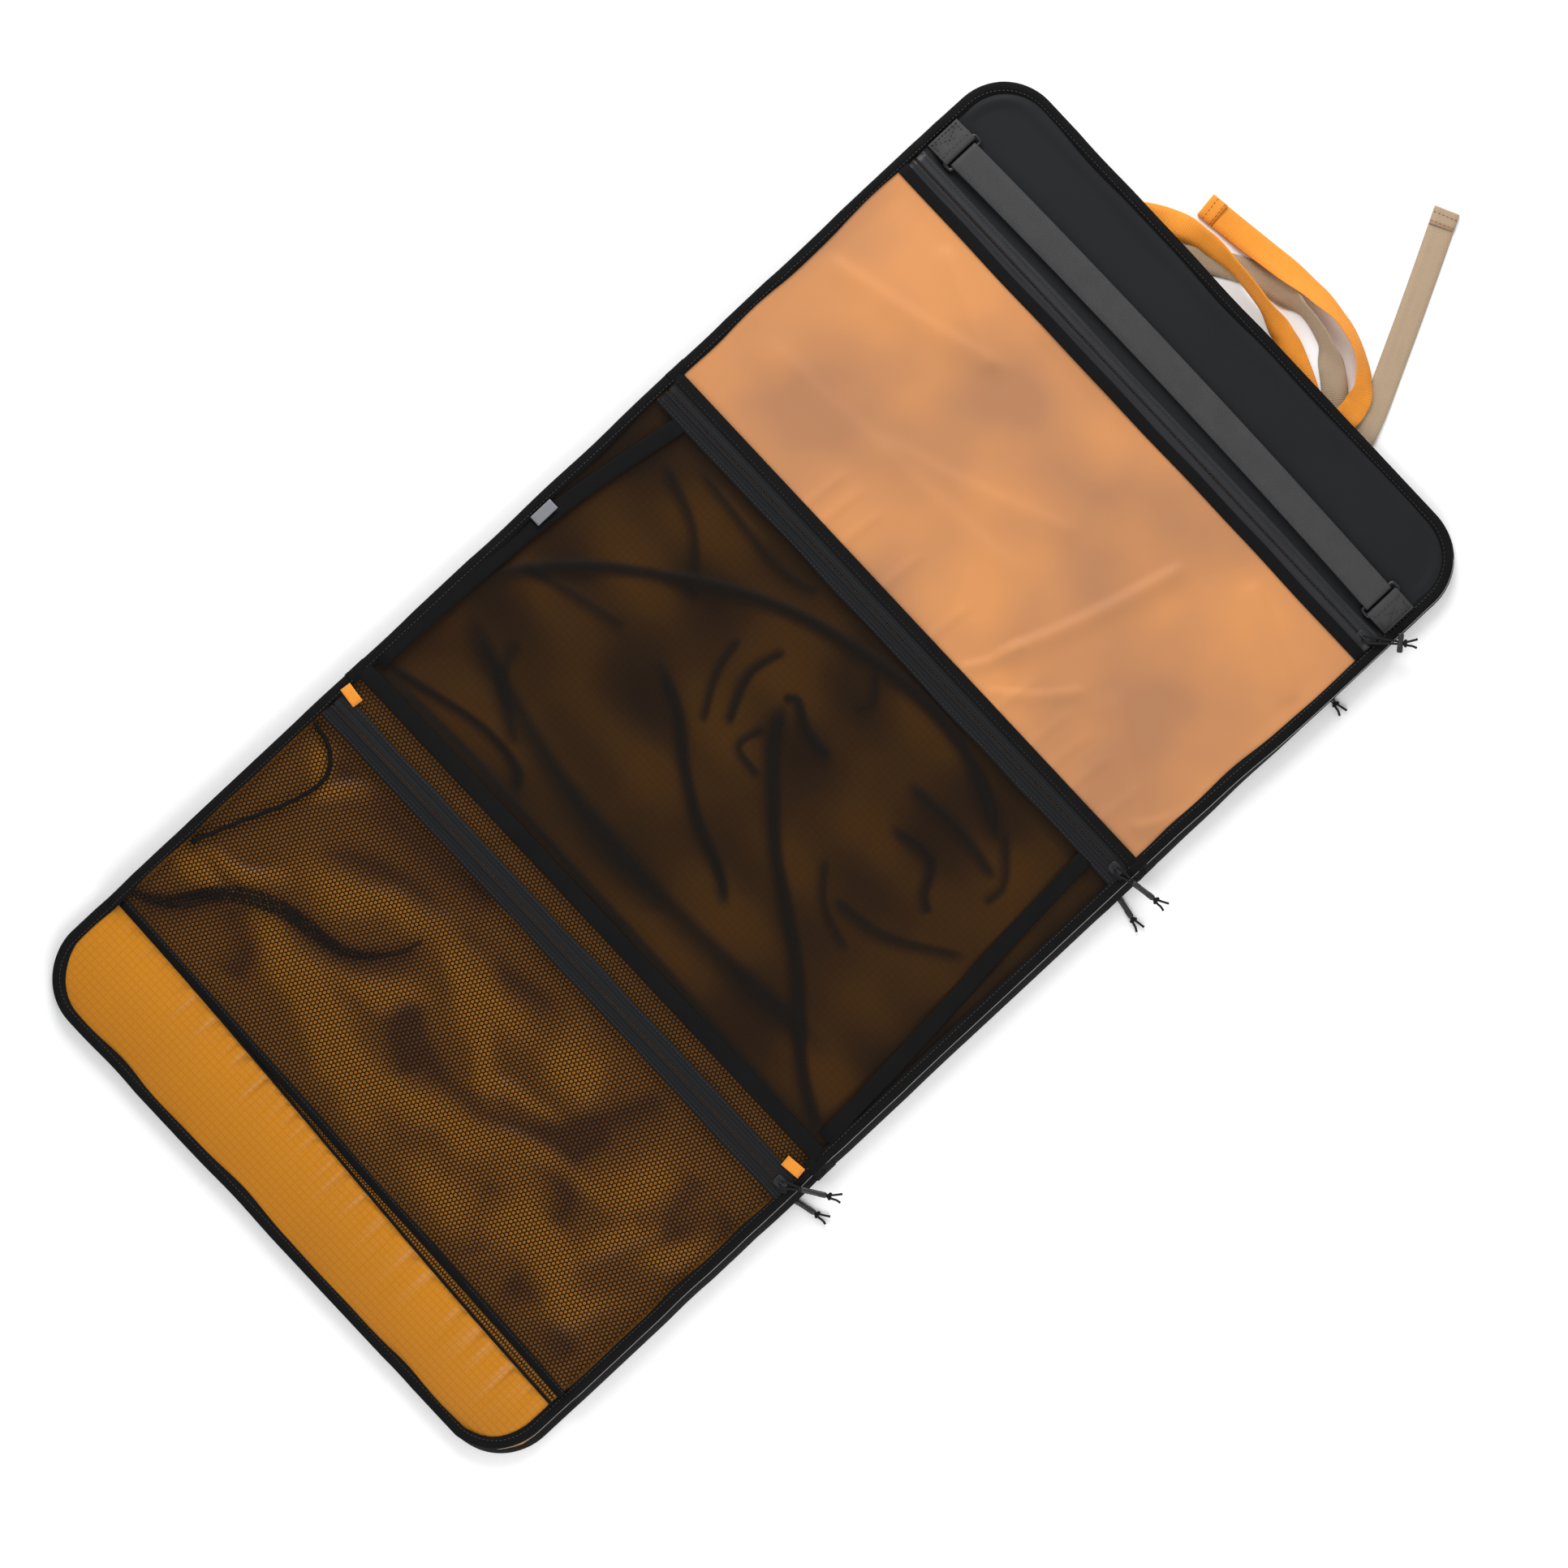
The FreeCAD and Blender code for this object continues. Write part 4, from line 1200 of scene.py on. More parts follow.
def make_back_sheets():
    """The back of each panel, in two stretches with its back zip between them."""
    ends = {"lower_panel": (BOTTOM + WALL, FOLD_LOW - SPINE_HALF - 0.3 * MM),
            "middle_panel": (FOLD_LOW + SPINE_HALF, FOLD_UP - SPINE_HALF),
            "upper_panel": (FOLD_UP + SPINE_HALF + 0.3 * MM, TOP - WALL)}
    for seed, (panel, (low, high)) in enumerate(ends.items()):
        zip_y = ZIP_Y[PANELS[panel]["zip"]]
        wave = ripples(20 + seed, 0.14)
        fine = ripples(30 + seed, 0.035)

        def height(x, y, wave=wave, fine=fine, zip_y=zip_y):
            lift = 0.5 + 0.5 * wave(x, y) * 0.6 + 0.12 * fine(x, y)
            return 0.1 * MM + np.clip(lift, 0, 1.4) * 0.9 * MM + underside(y, zip_y, TUNNEL - 0.9 * MM)
        stretches = []
        for a, b in ((low, zip_y - SLOT_HALF), (zip_y + SLOT_HALF, high)):
            rows = panel_rows(a, b, WALL, height, across=64, rounded_low=panel == "lower_panel" and a == low,
                              rounded_high=panel == "upper_panel" and b == high)
            stretches.append(sheet_piece("stretch", rows, finish("shell"), BACK_SHEET, 1))
        piece = join(panel + "_back", stretches)
        settle(piece, panel, "back_polyester", PANELS[panel]["sheet"])
        width = 2 * (HALF - WALL)
        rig.sheet(piece, flat=(width, high - low - 2 * SLOT_HALF), held="stretched", rests_on=[panel])


def hem_line(x):
    """The lower edge of the coarse net pocket, which runs a little askew."""
    return HEM + 1 * MM - x / HALF * 6.4 * MM


NET_TOUCHES = [              # where the lining bulges up to the coarse net: x, y, half length, half width, heading
    (-0.035, -0.262, 0.075, 0.016, 4), (0.066, -0.245, 0.022, 0.020, -50), (0.165, -0.270, 0.034, 0.018, 60),
    (0.185, -0.310, 0.040, 0.014, 78), (0.222, -0.285, 0.030, 0.013, 70), (-0.135, -0.282, 0.048, 0.015, 18),
    (-0.195, -0.240, 0.026, 0.010, 30), (-0.225, -0.235, 0.020, 0.009, -40), (-0.125, -0.352, 0.070, 0.020, -8),
    (-0.055, -0.378, 0.060, 0.018, -14), (0.030, -0.352, 0.085, 0.016, 8), (0.090, -0.384, 0.050, 0.018, 12),
    (0.160, -0.365, 0.044, 0.018, -16), (0.205, -0.380, 0.036, 0.013, 40), (0.010, -0.292, 0.050, 0.012, -30),
    (-0.070, -0.318, 0.040, 0.009, 20), (-0.200, -0.330, 0.030, 0.009, 40), (0.110, -0.320, 0.045, 0.011, 24),
    (-0.215, -0.365, 0.024, 0.010, 10), (0.060, -0.300, 0.030, 0.009, 30),
]


NET_SHADOWS = [              # the valleys between them, painted darker on the lining as shade
    [(-0.252, -0.405), (-0.226, -0.388), (-0.200, -0.352), (-0.165, -0.330), (-0.110, -0.318), (-0.082, -0.292), (-0.074, -0.268)],
    [(-0.190, -0.300), (-0.150, -0.262), (-0.110, -0.248), (-0.060, -0.246), (-0.010, -0.240), (0.045, -0.228)],
    [(-0.060, -0.312), (-0.020, -0.322), (0.030, -0.330), (0.080, -0.312), (0.112, -0.270), (0.128, -0.235), (0.140, -0.210)],
    [(0.128, -0.262), (0.122, -0.300), (0.145, -0.325), (0.150, -0.345)], [(-0.190, -0.350), (-0.160, -0.368), (-0.150, -0.395)],
    [(0.090, -0.352), (0.110, -0.385), (0.128, -0.398)], [(-0.230, -0.225), (-0.160, -0.222), (-0.100, -0.218), (-0.050, -0.205)],
    [(-0.045, -0.300), (-0.030, -0.330), (-0.005, -0.345)], [(0.150, -0.395), (0.190, -0.392), (0.235, -0.402)],
    [(0.195, -0.235), (0.200, -0.275), (0.190, -0.300)], [(0.240, -0.240), (0.228, -0.270), (0.205, -0.290)],
]


def lining_height(panel, seed):
    """The lining's top: near the pocket's floor, with soft folds inside the pocket that rise to its front."""
    broad = ripples(seed, 0.16)
    close = ripples(seed + 1, 0.05, spread=0.5, heading=0.2)
    swirl = ripples(seed + 3, 0.11)
    pucker = ripples(seed + 2, 0.016, spread=0.3)
    flare = ripples(seed + 4, 0.05)

    def height(x, y):
        inside = smooth((HALF - 14 * MM - np.abs(x)) / (25 * MM))
        depth = 0.5 + 0.35 * broad(x, y) + 0.2 * close(x, y)
        z = LINING_TOP - 0.1 * MM - 1.5 * MM * np.clip(depth, 0, 1) * inside
        if panel == "lower_panel":
            pocket = smooth((y - HEM - 6 * MM) / (10 * MM)) * smooth((FOLD_LOW - 36 * MM - y) / (8 * MM)) * inside
            shift = 9 * MM * swirl(x, y)
            z = z + pocket * 4.0 * MM * mounds(x + shift, y - 0.7 * shift + 4 * MM * close(x, y), NET_TOUCHES)
            strip = smooth((wall_line(x) - y) / (5 * MM)) * smooth((y - BOTTOM - 10 * MM) / (10 * MM))
            at_hem = np.exp(-((y - wall_line(x) + 4 * MM) / (20 * MM + 8 * MM * flare(x, y))) ** 2)
            z = z + strip * (1.3 * MM * np.clip(depth, 0, 1) + 0.5 * MM * broad(y, x) + 1.5 * MM * at_hem * pucker(x, y * 0.15)) * inside
        if panel == "middle_panel":
            pocket = smooth((y - FOLD_LOW - 12 * MM) / (14 * MM)) * smooth((ZIP_Y["fine"] - 14 * MM - y) / (12 * MM)) * inside
            z = z + pocket * 3.2 * MM * np.clip(0.55 + 0.5 * swirl(x, y * 1.5), 0, 1)
        return z
    return height


def painted_light_on_lining(panel, x, y):
    """How taut the lining lies, from 0, gathered, to 1: it is taut where it swells out to its pocket's front."""
    swirl = ripples({"lower_panel": 53, "middle_panel": 63, "upper_panel": 73}[panel], 0.11)
    close = ripples({"lower_panel": 51, "middle_panel": 61, "upper_panel": 71}[panel], 0.05, spread=0.5, heading=0.2)
    if panel == "lower_panel":
        shift = 9 * MM * swirl(x, y)
        # slack here holds painted light: it is higher where the lining touches the net and lowered along the valleys as
        # painted shade.
        slack = 0.42 + 0.66 * mounds(x + shift, y - 0.7 * shift + 4 * MM * close(x, y), NET_TOUCHES)
        for fold in NET_SHADOWS:
            slack = slack - 0.36 * fold_along(x, y, fold, 15 * MM, 0.6)
        strip = smooth((hem_line(x) - y + 1 * MM) / (3 * MM))
        return np.clip(slack, 0.04, 1) * (1 - strip) + strip * (0.66 + 0.26 * smooth((y - BOTTOM) / 0.09))
    if panel == "middle_panel":
        return np.clip(0.62 + 0.2 * swirl(x, y * 1.5), 0.1, 1)
    return np.full_like(x, 0.8)


def floor_under(panel, seed, clear):
    """A pocket front's floor: its lining, and the yarn's own thickness above it."""
    lining = lining_height(panel, seed)
    return lambda x, y: lining(x, y) + clear


LINING_SEEDS = {"lower_panel": 50, "middle_panel": 60, "upper_panel": 70}


def make_linings():
    """The orange lining of each panel."""
    inset = WALL + 2.5 * MM
    ends = {"lower_panel": (BOTTOM + inset, FOLD_LOW - 0.3 * MM), "middle_panel": (FOLD_LOW + 0.3 * MM, FOLD_UP - 0.3 * MM),
            "upper_panel": (FOLD_UP + 0.3 * MM, TOP - inset)}
    for panel, (low, high) in ends.items():
        rows = panel_rows(low, high, inset, lining_height(panel, LINING_SEEDS[panel]), step=3 * MM, across=150,
                          rounded_low=panel == "lower_panel", rounded_high=panel == "upper_panel")
        for row in rows:                      # it stops inside the leaning wall on the right
            row[:, 0] = np.minimum(row[:, 0], HALF - 6.5 * MM + 0.02 * (row[:, 0] - HALF))
        name = panel.split("_")[0] + "_lining"
        piece = sheet_piece(name + "_cloth", rows, finish("ripstop"), 0.3 * MM, -1)
        at = np.zeros(len(piece.data.vertices) * 3)
        piece.data.vertices.foreach_get("co", at)
        at = at.reshape(-1, 3)
        # Painted light and shade for the lining's colour, stored on its points.
        layer = piece.data.attributes.new("taut", "FLOAT", "POINT")
        layer.data.foreach_set("value", painted_light_on_lining(panel, at[:, 0], at[:, 1]).astype(np.float32))
        settle(piece, panel, "orange_ripstop", name)
        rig.sheet(piece, flat=(2 * (HALF - WALL), high - low), held="stretched", rests_on=[panel])


# ---------------------------------------------------------------- pocket fronts

NET_LEFT = -HALF + LAP - 1 * MM
NET_RIGHT = HALF - LEAN - LAP + 1 * MM


def front_rows(low, high, left, right, height, across, up):
    """Rows of points for a pocket front between two lines across the panel, each a function of x."""
    rows = []
    for v in np.linspace(0, 1, up + 1):
        x = np.linspace(left, right, across + 1)
        y = low(x) * (1 - v) + high(x) * v
        rows.append(np.stack([x, y, height(x, y)], -1))
    return rows


NET_FOLDS = [NET_SHADOWS[0]]   # where the slack net lies doubled over itself
SIDE_SEAM = [(-0.249, -0.216), (-0.226, -0.222), (-0.213, -0.240), (-0.218, -0.270), (-0.234, -0.310), (-0.247, -0.345)]


def softened(path, reach=4):
    """The same path with its height averaged along it."""
    last = len(path) - 1
    heights = [sum(path[min(max(i + k, 0), last)].z for k in range(-reach, reach + 1)) / (2 * reach + 1)
               for i in range(len(path))]
    return [Vector((p.x, p.y, z)) for p, z in zip(path, heights)]


def doubled_strip(surface, points, width, lift):
    """Rows of points for a narrow second layer along a curve, just above a surface."""
    line = curved(points, 40)
    along = np.gradient(line, axis=0)
    along /= np.linalg.norm(along, axis=1)[:, None]
    rows = []
    for k, (p, a) in enumerate(zip(line, along)):
        t = k / (len(line) - 1)
        half = width / 2 * (0.25 + 0.75 * math.sin(math.pi * min(1.0, t * 1.15 + 0.05)))
        rows.append([(p[0] - a[1] * d, p[1] + a[0] * d, surface_height(surface, p[0] - a[1] * d, p[1] + a[0] * d) + lift)
                     for d in np.linspace(-half, half, 7)])
    return np.asarray(rows)


def make_coarse_net():
    """The coarse net pocket: its front, the strip past its zip and the folded side wall at its hem."""
    rough = ripples(71, 0.05)
    zip_y = ZIP_Y["mesh"]
    front = front_rows(lambda x: hem_line(x) + 3 * MM, lambda x: zip_y - 10.5 * MM + 0 * x, NET_LEFT, NET_RIGHT,
                       lambda x, y: FRONT_TOP - 1.0 * MM + 0.4 * MM * rough(x, y)
                       + 1.5 * MM * sum(fold_along(x, y, f, 9 * MM) for f in NET_FOLDS), 124, 54)
    cloth = drape("net_cloth", front, sizes().net_slack, floor_under("lower_panel", 50, 0.5 * MM), FRONT_TOP + 2.5 * MM,
                  finish("net"))
    surface = points_of(cloth, front)
    bpy.data.objects.remove(cloth)
    strip = front_rows(lambda x: zip_y + 10.5 * MM + 0 * x, lambda x: FOLD_LOW - 0.6 * MM + 0 * x, NET_LEFT, NET_RIGHT,
                       lambda x, y: FRONT_TOP - 0.8 * MM + 0.5 * MM * rough(x, y), 124, 8)
    gusset = front_rows(lambda x: wall_line(x) - 0.5 * MM, lambda x: hem_line(x) - 1.5 * MM, -0.16, NET_RIGHT,
                        lambda x, y: LINING_TOP + 0.9 * MM + 0 * x, 60, 6)
    pitch = sizes().net_pitch
    second = []
    for points, wide in zip(NET_FOLDS, (15 * MM,)):
        layer = lattice_on("layer", np.swapaxes(doubled_strip(surface, points, wide, 0.6 * MM), 0, 1), pitch * 0.8, finish("net"))
        second.append(grow(layer, net_tree(), **{"Hole Share": 0.55, "Material": finish("net")}))
    settle(join("coarse_net_folds", second), "lower_panel", "hexagonal_mesh")
    line = curved(SIDE_SEAM, 40)
    path = softened([Vector((p[0], p[1], surface_height(surface, p[0], p[1]) + 1.3 * MM)) for p in line])
    settle(tube("coarse_net_side_seam", path, 1.7 * MM, finish("binding")), "lower_panel", "binding_tape")

    def net(name, rows, share=1.0):
        piece = lattice_on(name, rows, pitch * share, finish("net"))
        return grow(piece, net_tree(), **{"Hole Share": sizes().hole_share, "Material": finish("net")})
    front_net = join("coarse_net_front", [net("front", surface), net("wall", gusset, 0.8)])
    settle(front_net, "lower_panel", "hexagonal_mesh", "mesh_front")
    strip_net = settle(net("coarse_net_strip", strip), "lower_panel", "hexagonal_mesh", "mesh_gusset")
    width = NET_RIGHT - NET_LEFT
    for piece, length in ((front_net, zip_y - 10.5 * MM - HEM), (strip_net, FOLD_LOW - zip_y - 11 * MM)):
        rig.sheet(piece, flat=(width, length), held="stretched", rests_on=["lower_panel"],
                 area=width * length * (1 - sizes().hole_share ** 2))


TRICOT_FOLDS = [             # the curve of each fold, its half width in mm and its height in mm
    ([(-0.250, -0.065), (-0.225, -0.020), (-0.190, 0.020), (-0.150, 0.052), (-0.110, 0.080), (-0.060, 0.105), (0.0, 0.122),
      (0.060, 0.130), (0.110, 0.124), (0.150, 0.108), (0.166, 0.092)], 9, 3.2),
    ([(-0.022, 0.052), (-0.012, 0.040), (0.0, 0.024), (0.025, 0.0), (0.060, -0.030), (0.100, -0.055), (0.135, -0.078),
      (0.160, -0.100), (0.190, -0.125), (0.225, -0.145), (0.248, -0.153)], 9, 3.4),
    ([(-0.112, 0.006), (-0.070, -0.010), (-0.035, -0.035), (0.0, -0.055), (0.040, -0.070), (0.066, -0.088)], 8, 2.4),
    ([(-0.252, -0.148), (-0.205, -0.136), (-0.160, -0.126), (-0.120, -0.128), (-0.108, -0.142)], 7, 2.2),
    ([(-0.250, -0.152), (-0.150, -0.147), (0.0, -0.150), (0.120, -0.153), (0.225, -0.156)], 6, 2.0),
    ([(-0.240, -0.072), (-0.150, -0.098), (-0.060, -0.112), (0.060, -0.114), (0.210, -0.102)], 16, 1.7),
    ([(-0.078, 0.062), (-0.070, 0.030), (-0.048, -0.006)], 6, 1.7), ([(-0.046, 0.080), (-0.052, 0.046), (-0.034, 0.006)], 7, 2.0),
    ([(-0.024, 0.052), (-0.014, 0.060), (0.008, 0.050), (0.038, 0.048)], 7, 2.2), ([(-0.014, 0.030), (-0.018, 0.004), (0.010, 0.0)], 6, 1.8),
    ([(0.086, 0.078), (0.140, 0.082), (0.188, 0.076)], 8, 1.6), ([(0.100, 0.046), (0.140, 0.052), (0.158, 0.030), (0.172, 0.022)], 7, 1.8),
    ([(0.086, -0.004), (0.112, -0.030), (0.150, -0.042)], 6, 1.4), ([(0.110, -0.022), (0.160, -0.012), (0.215, 0.022)], 8, 1.6),
    ([(-0.215, 0.110), (-0.160, 0.090), (-0.120, 0.052)], 8, 1.5), ([(-0.200, 0.126), (-0.100, 0.118), (-0.060, 0.128)], 6, 1.4),
    ([(-0.230, -0.020), (-0.180, -0.006), (-0.140, 0.004)], 7, 1.2), ([(0.160, 0.110), (0.192, 0.080), (0.194, 0.056)], 7, 1.5),
    ([(-0.190, -0.060), (-0.176, -0.090), (-0.130, -0.120)], 9, 1.2), ([(0.010, 0.118), (0.026, 0.100), (0.020, 0.084)], 6, 1.4),
]


def make_fine_mesh():
    """The tricot pocket front, slack and wrinkled, with the two seams of its side walls."""
    rough, drift = ripples(81, 0.07, 14), ripples(83, 0.13)
    zip_y = ZIP_Y["fine"]
    floor = floor_under("middle_panel", LINING_SEEDS["middle_panel"], 0.5 * MM)

    def height(x, y):
        edge = np.minimum(np.minimum(smooth((x - NET_LEFT) / (16 * MM)), smooth((NET_RIGHT - x) / (16 * MM))),
                          np.minimum(smooth((y - FOLD_LOW - 9 * MM) / (12 * MM)), smooth((zip_y - 10.5 * MM - y) / (12 * MM))))
        hang = FRONT_TOP - 1.0 * MM - (1.9 + 1.3 * drift(x, y)) * MM * edge + 0.3 * MM * rough(x, y)
        for points, width, tall in TRICOT_FOLDS:
            hang = hang + 0.72 * tall * MM * fold_along(x, y, points, width * MM)
        return np.maximum(hang, floor(x, y))
    rows = np.asarray(front_rows(lambda x: FOLD_LOW + 9 * MM + 0 * x, lambda x: zip_y - 10.5 * MM + 0 * x, NET_LEFT,
                                 NET_RIGHT, height, 300, 176))
    piece = sheet_piece("tricot_front", rows, finish("tricot"))
    surface = rows
    x, y = rows[..., 0], rows[..., 1]
    doubled = sum(min(1.0, tall / 2.2) * fold_along(x, y, points, width * 0.72 * MM) for points, width, tall in TRICOT_FOLDS)
    # Painted shade: the higher the mesh stands above the lining, the more opaque and darker it is made; the folds add
    # their doubled layers on top.
    gap = (rows[..., 2] - floor(x, y)) / (4 * MM)
    shade = np.clip(0.20 * np.clip(doubled, 0, 1.2) + 0.07 * np.clip(gap, 0, 1), 0, 0.3)
    layer = piece.data.attributes.new("doubled", "FLOAT", "POINT")
    layer.data.foreach_set("value", shade.astype(np.float32).ravel())
    settle(piece, "middle_panel", "tricot_mesh", "fine_mesh_front")
    width, length = NET_RIGHT - NET_LEFT, zip_y - 10.5 * MM - FOLD_LOW - 9 * MM
    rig.sheet(piece, flat=(width, length), held="stretched", rests_on=["middle_panel"])
    seams = {"left": [(-0.2245, 0.136), (-0.2385, 0.06), (-0.2465, -0.02), (-0.2500, -0.15)],
             "right": [(0.2195, 0.136), (0.2245, 0.05), (0.2330, -0.03), (0.2400, -0.15)]}
    bands = []
    for points in seams.values():
        line = nurbs_line([(px, py, 0) for px, py in points], 14)
        path = [Vector((p.x, p.y, surface_height(surface, p.x, p.y) + 0.9 * MM)) for p in line]
        path = [p + Vector((0, 0, 0.5 * MM)) for p in softened(path)]
        bands.append(ribbon("band", path, Vector((1, 0, 0)), 13 * MM, 0.7 * MM, finish("binding")))
    settle(join("tricot_side_seams", bands), "middle_panel", "tricot_mesh", "fine_mesh_gusset")


def surface_height(surface, x, y):
    """Height of a surface of rows of points nearest to a place in plan."""
    away = (surface[..., 0] - x) ** 2 + (surface[..., 1] - y) ** 2
    return float(surface[..., 2].flat[int(np.argmin(away))])


FILM_FOLDS = [               # from, to, half width and height of each soft fold in the window
    ((0.062, 0.185), (0.112, 0.345), 12 * MM, 2.2 * MM), ((0.050, 0.163), (0.070, 0.215), 7 * MM, 1.5 * MM),
    ((0.075, 0.165), (0.130, 0.225), 9 * MM, 1.3 * MM), ((-0.250, 0.300), (-0.080, 0.345), 16 * MM, 1.0 * MM),
    ((-0.240, 0.225), (0.040, 0.245), 20 * MM, 0.9 * MM), ((-0.120, 0.235), (0.045, 0.300), 18 * MM, 0.9 * MM),
    ((-0.190, 0.375), (-0.090, 0.335), 12 * MM, 1.2 * MM), ((0.150, 0.370), (0.245, 0.330), 14 * MM, 1.2 * MM),
    ((0.140, 0.240), (0.245, 0.180), 16 * MM, 1.0 * MM), ((0.225, 0.175), (0.250, 0.235), 8 * MM, 1.3 * MM),
]
FILM_GATHERS = [-0.118, -0.100, -0.078, -0.034, 0.018, 0.092, 0.128, 0.150, 0.172, 0.205]
WINDOW_TOP = FOLD_UP + 223 * MM


def make_window():
    """The frosted window, with broad soft folds and small gathers along its lower seam."""
    broad = ripples(91, 0.2)

    def height(x, y):
        z = FRONT_TOP - 1.6 * MM + 1.1 * MM * broad(x, y)
        for start, end, width, tall in FILM_FOLDS:
            middle = ((start[0] + end[0]) / 2 + 3 * MM, (start[1] + end[1]) / 2 - 2 * MM)
            z = z + 1.7 * tall * fold_along(x, y, [start, middle, end], width * 0.85, 0.4)
        for gather in FILM_GATHERS:
            z = z + 1.1 * MM * crease(x, y, (gather, FOLD_UP - 8 * MM), (gather + 5 * MM, FOLD_UP + 46 * MM), 3.2 * MM, 0.3)
        edge = np.minimum(smooth((HALF - 9 * MM - np.abs(x)) / (14 * MM)), smooth((WINDOW_TOP - y) / (14 * MM)))
        return FRONT_TOP - 0.6 * MM + (z - FRONT_TOP + 0.6 * MM) * edge
    rows = front_rows(lambda x: FOLD_UP + 0.5 * MM + 0 * x, lambda x: WINDOW_TOP + 4 * MM + 0 * x,
                      -HALF + LAP - 1 * MM, HALF - LAP - 1 * MM, height, 170, 90)
    piece = sheet_piece("window_film", rows, finish("film"))
    settle(piece, "upper_panel", "frosted_film", "window_sheet")
    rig.sheet(piece, flat=(2 * HALF - 2 * LAP, WINDOW_TOP + 4 * MM - FOLD_UP), held="stretched", rests_on=["upper_panel"])


# ---------------------------------------------------------------- edges and seams

def rim_section(panel, point, outward, wave):
    """The folded tape's section at one place on the edge: over the front, down the side and under."""
    x, y = point
    top, floor = rim_height(panel, y), rim_floor(panel, y)
    lean = lean_at(panel, x, y) * abs(outward[0])
    lap = LAP + wave * 0.7 * MM
    skin = 0.9 * MM
    flat = [
        (lap + lean, top - 0.5 * MM), (lap * 0.5 + lean, top), (1.6 * MM + lean, top - 0.1 * MM),
        (0.5 * MM + lean, top - 0.7 * MM), (0.1 * MM + lean, top - 1.8 * MM),
        (lean * 0.5, (top + floor) / 2), (0, floor + 1.6 * MM), (0.5 * MM, floor + 0.4 * MM),
        (1.6 * MM, floor), (LAP, floor + 0.1 * MM), (LAP, floor + 0.1 * MM + skin),
        (1.9 * MM, floor + skin), (0.9 * MM, floor + 1.9 * MM), (0.9 * MM + lean * 0.5, (top + floor) / 2),
        (1.0 * MM + lean, top - 2.2 * MM), (1.9 * MM + lean, top - skin - 0.1 * MM),
        (lap * 0.5 + lean, top - skin), (lap + lean, top - skin - 0.5 * MM),
    ]
    sway = wave * 0.5 * MM
    return [Vector((x - outward[0] * (d + max(sway, 0)), y - outward[1] * (d + max(sway, 0)), z)) for d, z in flat]


RIM_NODES = {
    "lower_panel": ("lower_edge_binding", "mesh_side_binding"), "middle_panel": ("middle_side_binding",),
    "upper_panel": ("window_side_binding", "head_edge_binding", "window_gusset"),
}


def make_bindings():
    """The black tape round the edges of the three panels."""
    for seed, panel in enumerate(PANELS):
        made, threads_made = [], []
        sway = ripples(40 + seed, 0.09)
        for points, outward in edge_path(panel):
            sections = [rim_section(panel, p, n, float(sway(*p))) for p, n in zip(points, outward)]
            made.append(sweep("rim", sections, finish("binding")))
            right = [Vector(s[4]) + Vector((0.35 * MM, 0, 0.9 * MM)) for s, p in zip(sections, points) if p[0] > HALF - CORNER * 0.4]
            if len(right) > 8 and points[0][0] > 0:
                threads_made.append(tube("edge_thread", right[1:-1], 0.22 * MM, finish("pale_thread"), 6))
        settle(join(panel + "_rim", made), panel, "binding_tape", *RIM_NODES[panel])
        settle(join(panel + "_edge_thread", threads_made), panel, "binding_tape")


def straight_tape(name, y, width, z, left, right, thickness=0.9 * MM, seed=0):
    """A tape straight across a panel, a little wavy, with its section rounded."""
    sway = ripples(seed, 0.12)
    xs = np.linspace(left, right, 90)
    path = [Vector((x, (y(x) if callable(y) else y) + 0.4 * MM * float(sway(x, 0)),
                    z + 0.25 * MM * float(sway(x, 1)))) for x in xs]
    return ribbon(name, path, Vector((0, 1, 0)), width, thickness, finish("binding"))


def wall_line(x):
    """Where the hem's folded side wall meets the lining: it shows more and more towards the right."""
    return hem_line(x) - 2.5 * MM - 8 * MM * smooth((x + 0.22) / 0.42)


def make_seam_tapes():
    """The tapes across the pockets: the coarse net's hem, and the one above the window."""
    hem = straight_tape("hem", lambda x: hem_line(x) + 0.5 * MM, 7.5 * MM, FRONT_TOP - 0.9 * MM, NET_LEFT, NET_RIGHT, seed=3)
    for vertex in hem.data.vertices:          # the hem rolls down to the lining on its outer side
        drop = smooth((hem_line(vertex.co.x) + 1.5 * MM - vertex.co.y) / (5 * MM))
        vertex.co.z -= float(drop) * 3.6 * MM
    lower = ribbon("wall_seam", [Vector((x, wall_line(x), LINING_TOP + 1.3 * MM)) for x in np.linspace(NET_LEFT, NET_RIGHT, 80)],
                   Vector((0, 1, 0)), 2.4 * MM, 0.8 * MM, finish("binding"))
    settle(join("net_hem_tape", [hem, lower]), "lower_panel", "binding_tape", "mesh_hem_tape")
    band = straight_tape("window_top_tape", WINDOW_TOP + 4 * MM, 9.5 * MM, FRONT_TOP + 0.5 * MM,
                         -HALF + LAP - 1 * MM, HALF - LAP - 1 * MM, seed=5)
    settle(band, "upper_panel", "binding_tape", "window_tapes")


# ---------------------------------------------------------------- zips

def zip_half(side_y, y, face, up, half, lips, material, seed):
    """One of a zip's two tapes: flat cloth that rolls over its coil beside the slit."""
    sway = ripples(seed, 0.10)
    outline = [(0.75, 0.2), (0.80, lips * 0.8), (1.15, lips), (2.4, lips * 0.96), (3.2, lips * 0.6), (3.9, 0.25),
               (5.0, 0.08), (half * 0.7 / MM, 0.05), (half / MM, 0.0), (half / MM, -0.45), (4.0, -0.45), (0.75, -0.45)]
    sections = []
    for x in np.linspace(-ZIP_END, ZIP_END, 100):
        out = float(sway(x, side_y)) * 0.6
        sections.append([Vector((x, y + side_y * (d + (out if d > 8 else 0)) * MM, face + up * u * MM))
                         for d, u in outline])
    return sweep("tape", sections, material)


